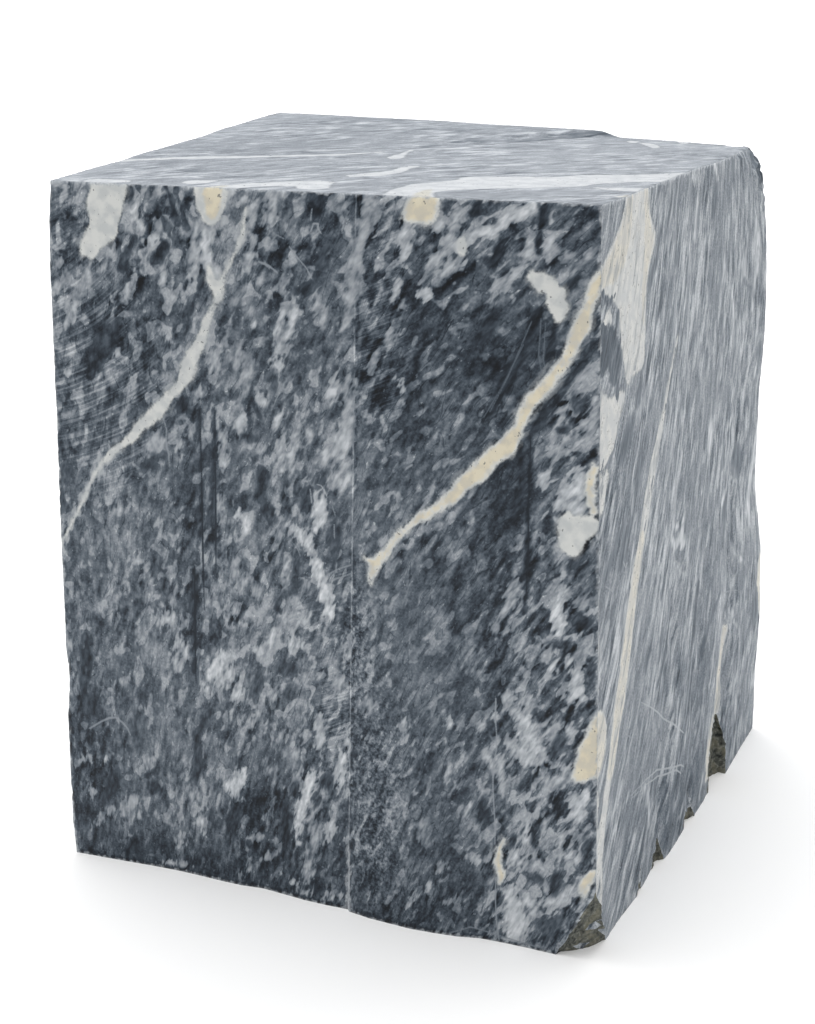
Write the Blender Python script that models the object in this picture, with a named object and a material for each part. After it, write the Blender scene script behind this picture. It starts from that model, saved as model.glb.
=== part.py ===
"""Rough-sawn block of grey veined marble, standing on its flat base.

Front face towards -Y, +X to the right, +Z up, in metres. The block is one closed
solid: a box cut into strips, bent to the block's own faces, then broken at its corners.
"""
import bpy
import bmesh
import numpy as np
from mathutils import Matrix, Vector, noise

# Would-be corners of the block, before anything broke off: the driving dimensions.
FRONT_LEFT_FOOT = (-0.199, -0.197, 0.0)
FRONT_RIGHT_FOOT = (0.200, -0.206, 0.0)
BACK_LEFT_FOOT = (-0.214, 0.205, 0.0)
BACK_RIGHT_FOOT = (0.213, 0.209, 0.0)
FRONT_LEFT_TOP = (-0.190, -0.196, 0.491)
FRONT_RIGHT_TOP = (0.188, -0.203, 0.498)
BACK_LEFT_TOP = (-0.211, 0.202, 0.493)
BACK_RIGHT_TOP = (0.188, 0.205, 0.483)

# Saw seam down the front: where it meets the top and the foot, in X, and the same on the back.
SEAM_TOP_X = 0.030
SEAM_FOOT_X = 0.021
SEAM_WIDTH = 0.0022
BLOCK_WIDTH = 0.4

# Strips across the box, as fractions of a side. The seam stands at SEAM_SHARE of the width.
SEAM_SHARE = 0.56
STRIPS_LEFT_OF_SEAM = 13
STRIPS_RIGHT_OF_SEAM = 11
STRIPS_DEEP = 30
STRIPS_HIGH = 18

# Front face at the foot: how far it lies behind (+) or stands in front of (-) the flat, by X.
FRONT_FOOT_X = (-0.199, -0.171, -0.119, -0.086, -0.071, -0.044, -0.020, 0.000, 0.0210,
                0.0232, 0.041, 0.070, 0.099, 0.120, 0.145, 0.175, 0.200)
FRONT_FOOT_IN = (0.000, 0.0014, 0.0046, 0.0034, 0.0019, 0.0050, 0.0012, 0.0004, 0.0008,
                 -0.0040, -0.0048, -0.0070, -0.0050, 0.0002, 0.0008, -0.0004, 0.000)
FRONT_FADE = 1.3
# How quickly a face's relief dies out inside the block: the higher, the nearer to the face.
FRONT_DEPTH_POWER = 8
SIDE_DEPTH_POWER = 12

# Right face at the foot, by Y: how far each flute bows out (+) or lies in (-).
RIGHT_FOOT_Y = (-0.206, -0.177, -0.143, -0.106, -0.099, -0.080, -0.062, -0.051, -0.020,
                0.002, 0.013, 0.026, 0.050, 0.068, 0.080, 0.092, 0.104, 0.113, 0.154, 0.209)
RIGHT_FOOT_OUT = (0.000, -0.0032, -0.0036, -0.0018, -0.0026, -0.0034, -0.0050, 0.0002, 0.0001,
                  -0.0006, -0.0026, 0.0002, 0.0000, -0.0006, -0.0030, -0.0050, 0.0016, 0.0024,
                  0.0012, 0.0)
# Right face along the top edge, by Y.
RIGHT_TOP_Y = (-0.203, -0.165, -0.106, -0.050, -0.020, 0.008, 0.014, 0.070, 0.115, 0.154, 0.205)
RIGHT_TOP_OUT = (0.000, 0.0016, 0.0008, 0.0012, 0.0000, 0.0016, -0.0004, 0.0014, -0.0014, -0.0030,
                 0.000)
FLUTE_LEAN = 0.22
FLUTE_FADE = 0.8
TOP_RIDGE_FADE = 1.5
# The back right edge, by height: how far it stands out from a straight edge.
BACK_RIGHT_Z = (0.0, 0.060, 0.097, 0.166, 0.199, 0.216, 0.299, 0.332, 0.396, 0.442, 0.483)
BACK_RIGHT_OUT = (0.000, 0.0022, 0.0058, 0.0062, 0.0026, 0.0012, 0.0052, 0.0092, 0.0112, 0.0098,
                  0.0072)
BACK_RIGHT_FROM_Y = 0.02
BACK_RIGHT_RUN = 0.19

# Left face, by height: how far the front left edge stands in from a straight edge.
LEFT_EDGE_Z = (0.0, 0.009, 0.120, 0.128, 0.136, 0.144, 0.151, 0.270, 0.328, 0.451, 0.478, 0.491)
LEFT_EDGE_OUT = (-0.001, 0.0012, 0.0022, 0.0010, -0.0004, 0.0002, 0.0016, 0.0024, 0.0022, 0.0030,
                 0.0014, 0.0)
LEFT_EDGE_FROM_Y = -0.20
LEFT_EDGE_RUN = 0.10
# Its shallow upright flutes, between the two edges.
LEFT_FLUTES_FROM_Y = -0.19
LEFT_FLUTES_TO_Y = 0.20
LEFT_FLUTES_RUN = (0.08, 0.06)
LEFT_FLUTE_DEPTH = 0.0022
LEFT_FLUTE_INSET = 0.0012
LEFT_FLUTES_PER_METRE = 26.0
LEFT_FLUTE_LEAN = 0.15
LEFT_FLUTE_CHANGE = 3.0
LEFT_FLUTE_SEED = 4.0

# Back face: low steps along the layers, and slow waves over them.
BACK_HALF_X = (0.21, 0.20)
BACK_RUN = 0.05
BACK_FOOT_SHARE = 0.05
BACK_STEP_DEPTH = 0.0042
BACK_STEP_LEAN = 0.25
BACK_STEPS_PER_METRE = (15.0, 2.6)
BACK_WAVE_DEPTH = 0.0030
BACK_WAVES_PER_METRE = (7.0, 6.0)
BACK_SEEDS = (7.0, 2.0)

# Ledge on the top: a layer that broke away to the right of this line leaves a small riser.
LEDGE_LINE = ((-0.036, 0.040), (0.007, 0.106), (0.040, 0.176), (0.082, 0.206))
LEDGE_RISE = (0.0, 0.0022, 0.0038, 0.0043)
LEDGE_REACH = 0.29
LEDGE_FADE = 1.5
RISER_WIDTH = 0.007
TOP_FROM_Z = 0.45
CUT_TOLERANCE = 0.0004

# Rough broken places. A slab takes off a corner, a lump bites a hollow.
BREAK_GRAIN = 0.013
BREAK_ROUGHNESS = 0.0042
SLAB_HALF_SIZE = 0.052
SLAB_THICKNESS = 0.08
SLAB_SQUARES = 16
FOOT_CORNER_SEED = 3.0
TOP_CORNER_SEED = 8.0
FOOT_CORNER_POINTS = ((0.1975, -0.206, 0.051), (0.173, -0.2055, 0.0), (0.197, -0.177, 0.0))
TOP_CORNER_POINTS = ((0.1885, 0.152, 0.486), (0.1875, 0.204, 0.4825), (0.198, 0.211, 0.464))
HOLLOWS = {
    "hollow_front": {"centre": (0.2030, -0.102, 0.001), "radii": (0.004, 0.006, 0.010)},
    "hollow_middle": {"centre": (0.2060, -0.058, 0.002), "radii": (0.009, 0.009, 0.020)},
    "hollow_low": {"centre": (0.2090, 0.016, 0.000), "radii": (0.007, 0.012, 0.014)},
    "hollow_back": {"centre": (0.2140, 0.095, 0.010), "radii": (0.015, 0.018, 0.050)},
}
HOLLOW_FACETS = 3
HOLLOW_KNOBS = 2.1
HOLLOW_KNOB_SIZE = 0.35
HOLLOW_SEED_STEP = 1.7
BLOCK_MIDDLE = (0.0, 0.0, 0.24)

# Plain stand-in finish.
MARBLE_GREY = (0.16, 0.19, 0.22, 1.0)
MARBLE_ROUGHNESS = 0.42


def clear_scene():
    for item in list(bpy.data.objects):
        bpy.data.objects.remove(item, do_unlink=True)


def smooth(value):
    """Ease from 0 to 1, flat at both ends."""
    value = min(max(value, 0.0), 1.0)
    return value * value * (3.0 - 2.0 * value)


def blend_corners(u, v, w):
    """Point of the plain box at u across, v deep and w high, each 0 to 1."""
    foot_front = Vector(FRONT_LEFT_FOOT).lerp(Vector(FRONT_RIGHT_FOOT), u)
    foot_back = Vector(BACK_LEFT_FOOT).lerp(Vector(BACK_RIGHT_FOOT), u)
    top_front = Vector(FRONT_LEFT_TOP).lerp(Vector(FRONT_RIGHT_TOP), u)
    top_back = Vector(BACK_LEFT_TOP).lerp(Vector(BACK_RIGHT_TOP), u)
    return foot_front.lerp(foot_back, v).lerp(top_front.lerp(top_back, v), w)


def lean_to_seam(u, w):
    """Shift u so that the seam's own strip runs from SEAM_FOOT_X up to SEAM_TOP_X."""
    left = FRONT_LEFT_FOOT[0] + (FRONT_LEFT_TOP[0] - FRONT_LEFT_FOOT[0]) * w
    right = FRONT_RIGHT_FOOT[0] + (FRONT_RIGHT_TOP[0] - FRONT_RIGHT_FOOT[0]) * w
    seam_x = SEAM_FOOT_X + (SEAM_TOP_X - SEAM_FOOT_X) * w
    seam_u = (seam_x - left) / (right - left)
    return float(np.interp(u, (0.0, SEAM_SHARE, 1.0), (0.0, seam_u, 1.0)))


def front_relief(x, w):
    """Bands of the sawn front, strongest at the foot and gone at the top edge."""
    seam_x = SEAM_FOOT_X + (SEAM_TOP_X - SEAM_FOOT_X) * w
    band_x = x - seam_x + SEAM_FOOT_X
    return float(np.interp(band_x, FRONT_FOOT_X, FRONT_FOOT_IN)) * (1.0 - w) ** FRONT_FADE


def right_relief(y, z, w):
    """Flutes of the right face: they lean back as they rise, and fade into the top's ridges."""
    foot_y = y - FLUTE_LEAN * z
    foot = float(np.interp(foot_y, RIGHT_FOOT_Y, RIGHT_FOOT_OUT)) * (1.0 - w) ** FLUTE_FADE
    top = float(np.interp(y, RIGHT_TOP_Y, RIGHT_TOP_OUT)) * w ** TOP_RIDGE_FADE
    edge = float(np.interp(z, BACK_RIGHT_Z, BACK_RIGHT_OUT))
    edge *= smooth((y - BACK_RIGHT_FROM_Y) / BACK_RIGHT_RUN)
    return foot + top + edge


def left_relief(y, z):
    """The left face, split and then sawn: shallow upright flutes, as on the right."""
    edge = float(np.interp(z, LEFT_EDGE_Z, LEFT_EDGE_OUT))
    edge *= 1.0 - smooth((y - LEFT_EDGE_FROM_Y) / LEFT_EDGE_RUN)
    inside = smooth((y - LEFT_FLUTES_FROM_Y) / LEFT_FLUTES_RUN[0])
    inside *= smooth((LEFT_FLUTES_TO_Y - y) / LEFT_FLUTES_RUN[1])
    flute_y = (y + LEFT_FLUTE_LEAN * z) * LEFT_FLUTES_PER_METRE
    flutes = LEFT_FLUTE_DEPTH * noise.noise(Vector((LEFT_FLUTE_SEED, flute_y, z * LEFT_FLUTE_CHANGE)))
    return edge + inside * (flutes - LEFT_FLUTE_INSET)


def back_relief(x, z):
    """The back face, split along the layers: low steps that run up and to the left."""
    inside = smooth((x + BACK_HALF_X[0]) / BACK_RUN) * smooth((BACK_HALF_X[1] - x) / BACK_RUN)
    step_x = (x + BACK_STEP_LEAN * z) * BACK_STEPS_PER_METRE[0]
    steps = noise.noise(Vector((step_x, BACK_SEEDS[0], z * BACK_STEPS_PER_METRE[1])))
    wave_x, wave_z = x * BACK_WAVES_PER_METRE[0], z * BACK_WAVES_PER_METRE[1]
    waves = noise.noise(Vector((wave_x, BACK_SEEDS[1], wave_z)))
    return inside * (BACK_STEP_DEPTH * steps + BACK_WAVE_DEPTH * waves)


def ledge_height(x, y):
    """Height left standing behind the ledge line, easing out away from it."""
    line_y = [point[1] for point in LEDGE_LINE]
    line_x = [point[0] for point in LEDGE_LINE]
    behind = float(np.interp(y, line_y, line_x)) - x
    if behind <= 0.0:
        return 0.0
    rise = float(np.interp(y, line_y, LEDGE_RISE))
    fade = max(1.0 - (behind / LEDGE_REACH) ** LEDGE_FADE, 0.0)
    return rise * min(behind / RISER_WIDTH, 1.0) * fade


def raise_ledge(mesh):
    """Cut the top along the foot and the head of the riser, then lift what lies behind it."""
    top = {face for face in mesh.faces if all(vertex.co.z > TOP_FROM_Z for vertex in face.verts)}
    for step in (0.0, RISER_WIDTH):
        for start, end in zip(LEDGE_LINE[:-1], LEDGE_LINE[1:]):
            start_point = Vector((start[0] - step, start[1], 0.0))
            along = Vector((end[0] - start[0], end[1] - start[1], 0.0))
            near = [face for face in top if face.is_valid and crosses(face, start_point, along)]
            edges = {edge for face in near for edge in face.edges}
            verts = {vertex for face in near for vertex in face.verts}
            across = along.cross(Vector((0.0, 0.0, 1.0)))
            cut = bmesh.ops.bisect_plane(mesh, geom=[*verts, *edges, *near], plane_co=start_point,
                                         plane_no=across, dist=CUT_TOLERANCE)
            top |= {item for item in cut["geom"] if isinstance(item, bmesh.types.BMFace)}
    tops = {vertex for face in top if face.is_valid for vertex in face.verts}
    for vertex in tops:
        vertex.co.z += ledge_height(vertex.co.x, vertex.co.y)


def crosses(face, start, along):
    """True where the face's middle lies beside this stretch of the line."""
    share = (face.calc_center_median() - start).dot(along) / along.length_squared
    return -0.1 < share < 1.1


def block_point(u, v, w):
    """Place one lattice point on the real block."""
    point = blend_corners(lean_to_seam(u, w), v, w)
    x, y, z = point
    point.y += front_relief(x, w) * (1.0 - v) ** FRONT_DEPTH_POWER
    point.x += right_relief(y, z, w) * u ** SIDE_DEPTH_POWER
    point.x -= left_relief(y, z) * (1.0 - u) ** SIDE_DEPTH_POWER
    point.y += back_relief(x, z) * v ** SIDE_DEPTH_POWER * smooth(w / BACK_FOOT_SHARE)
    if w == 0.0:
        point.z = 0.0
    return point


def stations():
    """Where the strips are cut, as fractions along X, Y and Z."""
    seam_half = 0.5 * SEAM_WIDTH / BLOCK_WIDTH
    left = np.linspace(0.0, SEAM_SHARE - seam_half, STRIPS_LEFT_OF_SEAM + 1)[1:]
    right = np.linspace(SEAM_SHARE + seam_half, 1.0, STRIPS_RIGHT_OF_SEAM + 1)[:-1]
    across = list(left) + list(right)
    deep = np.linspace(0.0, 1.0, STRIPS_DEEP + 1)[1:-1]
    high = np.linspace(0.0, 1.0, STRIPS_HIGH + 1)[1:-1]
    return (Vector((1, 0, 0)), across), (Vector((0, 1, 0)), deep), (Vector((0, 0, 1)), high)


def cut_box():
    """Unit box cut into strips by planes across each axis, its base kept as one face."""
    mesh = bmesh.new()
    bmesh.ops.create_cube(mesh, size=1.0, matrix=Matrix.Translation((0.5, 0.5, 0.5)))
    for axis, places in stations():
        for place in places:
            everything = mesh.verts[:] + mesh.edges[:] + mesh.faces[:]
            bmesh.ops.bisect_plane(mesh, geom=everything, plane_co=axis * place, plane_no=axis)
    base = [face for face in mesh.faces if face.normal.z < -0.5]
    bmesh.ops.dissolve_faces(mesh, faces=base, use_verts=False)
    return mesh


def rough_slab(name, points, seed):
    """Cutter for a broken corner: a thick slab whose underside is a rough, slightly hollow face."""
    first, second, third = (Vector(point) for point in points)
    outward = (second - first).cross(third - first).normalized()
    middle = (first + second + third) / 3.0
    if outward.dot(middle - Vector(BLOCK_MIDDLE)) < 0.0:
        outward.negate()
    turn = outward.to_track_quat("Z", "Y").to_matrix().to_4x4()
    mesh = bmesh.new()
    bmesh.ops.create_grid(mesh, x_segments=SLAB_SQUARES, y_segments=SLAB_SQUARES, size=SLAB_HALF_SIZE)
    for vertex in mesh.verts:
        spot = vertex.co / BREAK_GRAIN
        vertex.co.z = BREAK_ROUGHNESS * noise.noise(spot + Vector((seed, 0.0, seed)))
    rim = bmesh.ops.extrude_face_region(mesh, geom=mesh.faces[:])
    lifted = [item for item in rim["geom"] if isinstance(item, bmesh.types.BMVert)]
    for vertex in lifted:
        vertex.co.z = SLAB_THICKNESS
    bmesh.ops.recalc_face_normals(mesh, faces=mesh.faces)
    bmesh.ops.transform(mesh, matrix=Matrix.Translation(middle) @ turn, verts=mesh.verts)
    return add_cutter(name, mesh)


def rough_lump(name, centre, radii, seed):
    """Cutter for a hollow: a knobbly ellipsoid."""
    mesh = bmesh.new()
    bmesh.ops.create_icosphere(mesh, subdivisions=HOLLOW_FACETS, radius=1.0)
    for vertex in mesh.verts:
        direction = vertex.co.normalized()
        knobs = noise.noise(direction * HOLLOW_KNOBS + Vector((seed, seed, 0.0)))
        stretched = Vector((direction.x * radii[0], direction.y * radii[1], direction.z * radii[2]))
        vertex.co = Vector(centre) + stretched * (1.0 + HOLLOW_KNOB_SIZE * knobs)
    return add_cutter(name, mesh)


def add_cutter(name, mesh):
    data = bpy.data.meshes.new(name)
    mesh.to_mesh(data)
    mesh.free()
    cutter = bpy.data.objects.new(name, data)
    cutter.hide_render = True
    cutter.display_type = "WIRE"
    bpy.context.collection.objects.link(cutter)
    return cutter


def take_off(block, cutter):
    cut = block.modifiers.new(cutter.name, "BOOLEAN")
    cut.operation = "DIFFERENCE"
    cut.solver = "EXACT"
    cut.object = cutter


def marble():
    material = bpy.data.materials.new("grey_marble")
    material.use_nodes = True
    surface = material.node_tree.nodes["Principled BSDF"]
    surface.inputs["Base Color"].default_value = MARBLE_GREY
    surface.inputs["Roughness"].default_value = MARBLE_ROUGHNESS
    surface.inputs["Metallic"].default_value = 0.0
    return material


def build_block():
    mesh = cut_box()
    for vertex in mesh.verts:
        vertex.co = block_point(*vertex.co)
    raise_ledge(mesh)
    bmesh.ops.recalc_face_normals(mesh, faces=mesh.faces)
    data = bpy.data.meshes.new("marble_block")
    mesh.to_mesh(data)
    mesh.free()
    data.materials.append(marble())
    block = bpy.data.objects.new("marble_block", data)
    bpy.context.collection.objects.link(block)
    take_off(block, rough_slab("foot_corner_break", FOOT_CORNER_POINTS, FOOT_CORNER_SEED))
    take_off(block, rough_slab("top_corner_break", TOP_CORNER_POINTS, TOP_CORNER_SEED))
    for seed, (name, hollow) in enumerate(HOLLOWS.items(), start=1):
        take_off(block, rough_lump(name, hollow["centre"], hollow["radii"], seed * HOLLOW_SEED_STEP))
    return block


clear_scene()
build_block()
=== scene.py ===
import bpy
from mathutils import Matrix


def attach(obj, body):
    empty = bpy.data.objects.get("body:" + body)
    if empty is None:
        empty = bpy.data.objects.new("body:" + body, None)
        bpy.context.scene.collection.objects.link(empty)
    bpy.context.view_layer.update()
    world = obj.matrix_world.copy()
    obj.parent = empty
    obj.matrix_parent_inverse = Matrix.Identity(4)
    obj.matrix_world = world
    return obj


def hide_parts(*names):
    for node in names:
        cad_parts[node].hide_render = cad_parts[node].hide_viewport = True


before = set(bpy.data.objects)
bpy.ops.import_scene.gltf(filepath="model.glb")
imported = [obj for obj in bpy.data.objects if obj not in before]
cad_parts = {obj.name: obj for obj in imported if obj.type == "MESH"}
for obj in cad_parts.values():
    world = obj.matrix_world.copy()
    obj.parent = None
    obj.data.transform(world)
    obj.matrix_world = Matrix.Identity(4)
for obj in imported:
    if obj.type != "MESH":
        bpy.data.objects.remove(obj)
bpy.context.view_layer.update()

import math
import bmesh
import bpy
import numpy as np
from mathutils import Vector, noise
from mathutils.kdtree import KDTree

print("marble block: frame loaded")


def segmentGap(points, start, end):
    # how far each point lies along a straight piece, 0 to 1, and its distance from it
    a, b = np.array(start[:2], float), np.array(end[:2], float)
    along = b - a
    share = np.clip((points - a) @ along / max(along @ along, 1e-9), 0.0, 1.0)
    return share, np.hypot(*(points - a - share[:, None] * along).T)


def strokeField(points, stroke):
    # millimetres inside (+) or outside (-) a stroke drawn as (a, b, half width)
    best = np.full(len(points), -1e3)
    for start, end in zip(stroke[:-1], stroke[1:]):
        share, gap = segmentGap(points, start, end)
        best = np.maximum(best, start[2] + (end[2] - start[2]) * share - gap)
    return best


def ellipseReach(points, a, b, wide, high, turn):
    # 0 at the middle of an ellipse turned by an angle in degrees, 1 on its rim
    c, s = math.cos(math.radians(turn)), math.sin(math.radians(turn))
    dx, dy = points[:, 0] - a, points[:, 1] - b
    return np.hypot((dx * c + dy * s) / wide, (dy * c - dx * s) / high)


def fleckField(points, fleck):
    # a fleck is an ellipse: a, b, half length, half width, turn, tone
    a, b, length, width, turn = fleck[:5]
    return (1.0 - ellipseReach(points, a, b, length, width, turn)) * width


def roundOutline(outline, times=2):
    # cuts every corner a few times, which leaves a soft closed line
    for _ in range(times):
        softer = []
        for a, b in zip(outline, outline[1:] + outline[:1]):
            softer.append((a[0] * 0.75 + b[0] * 0.25, a[1] * 0.75 + b[1] * 0.25))
            softer.append((a[0] * 0.25 + b[0] * 0.75, a[1] * 0.25 + b[1] * 0.75))
        outline = softer
    return outline


def outlineField(points, outline):
    # millimetres inside (+) or outside (-) a closed outline
    loop = roundOutline(outline)
    inside = np.zeros(len(points), bool)
    gap = np.full(len(points), 1e3)
    for a, b in zip(loop, loop[1:] + loop[:1]):
        gap = np.minimum(gap, segmentGap(points, a, b)[1])
        crosses = (a[1] > points[:, 1]) != (b[1] > points[:, 1])
        where = a[0] + (points[:, 1] - a[1]) * (b[0] - a[0]) / ((b[1] - a[1]) or 1e-9)
        inside ^= crosses & (points[:, 0] < where)
    return np.where(inside, gap, -gap)


def zoneTone(points, zones, start, bend=2.4, fall=0.9):
    # soft ellipses: a, b, half sizes, turn, tone, strength; bend and fall shape their soft edge
    tone = np.full(len(points), start, float)
    for a, b, wide, high, turn, level, strength in zones:
        reach = ellipseReach(points, a, b, wide, high, turn)
        tone += (level - tone) * (strength * np.exp(-reach ** bend * fall))
    return tone


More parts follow.
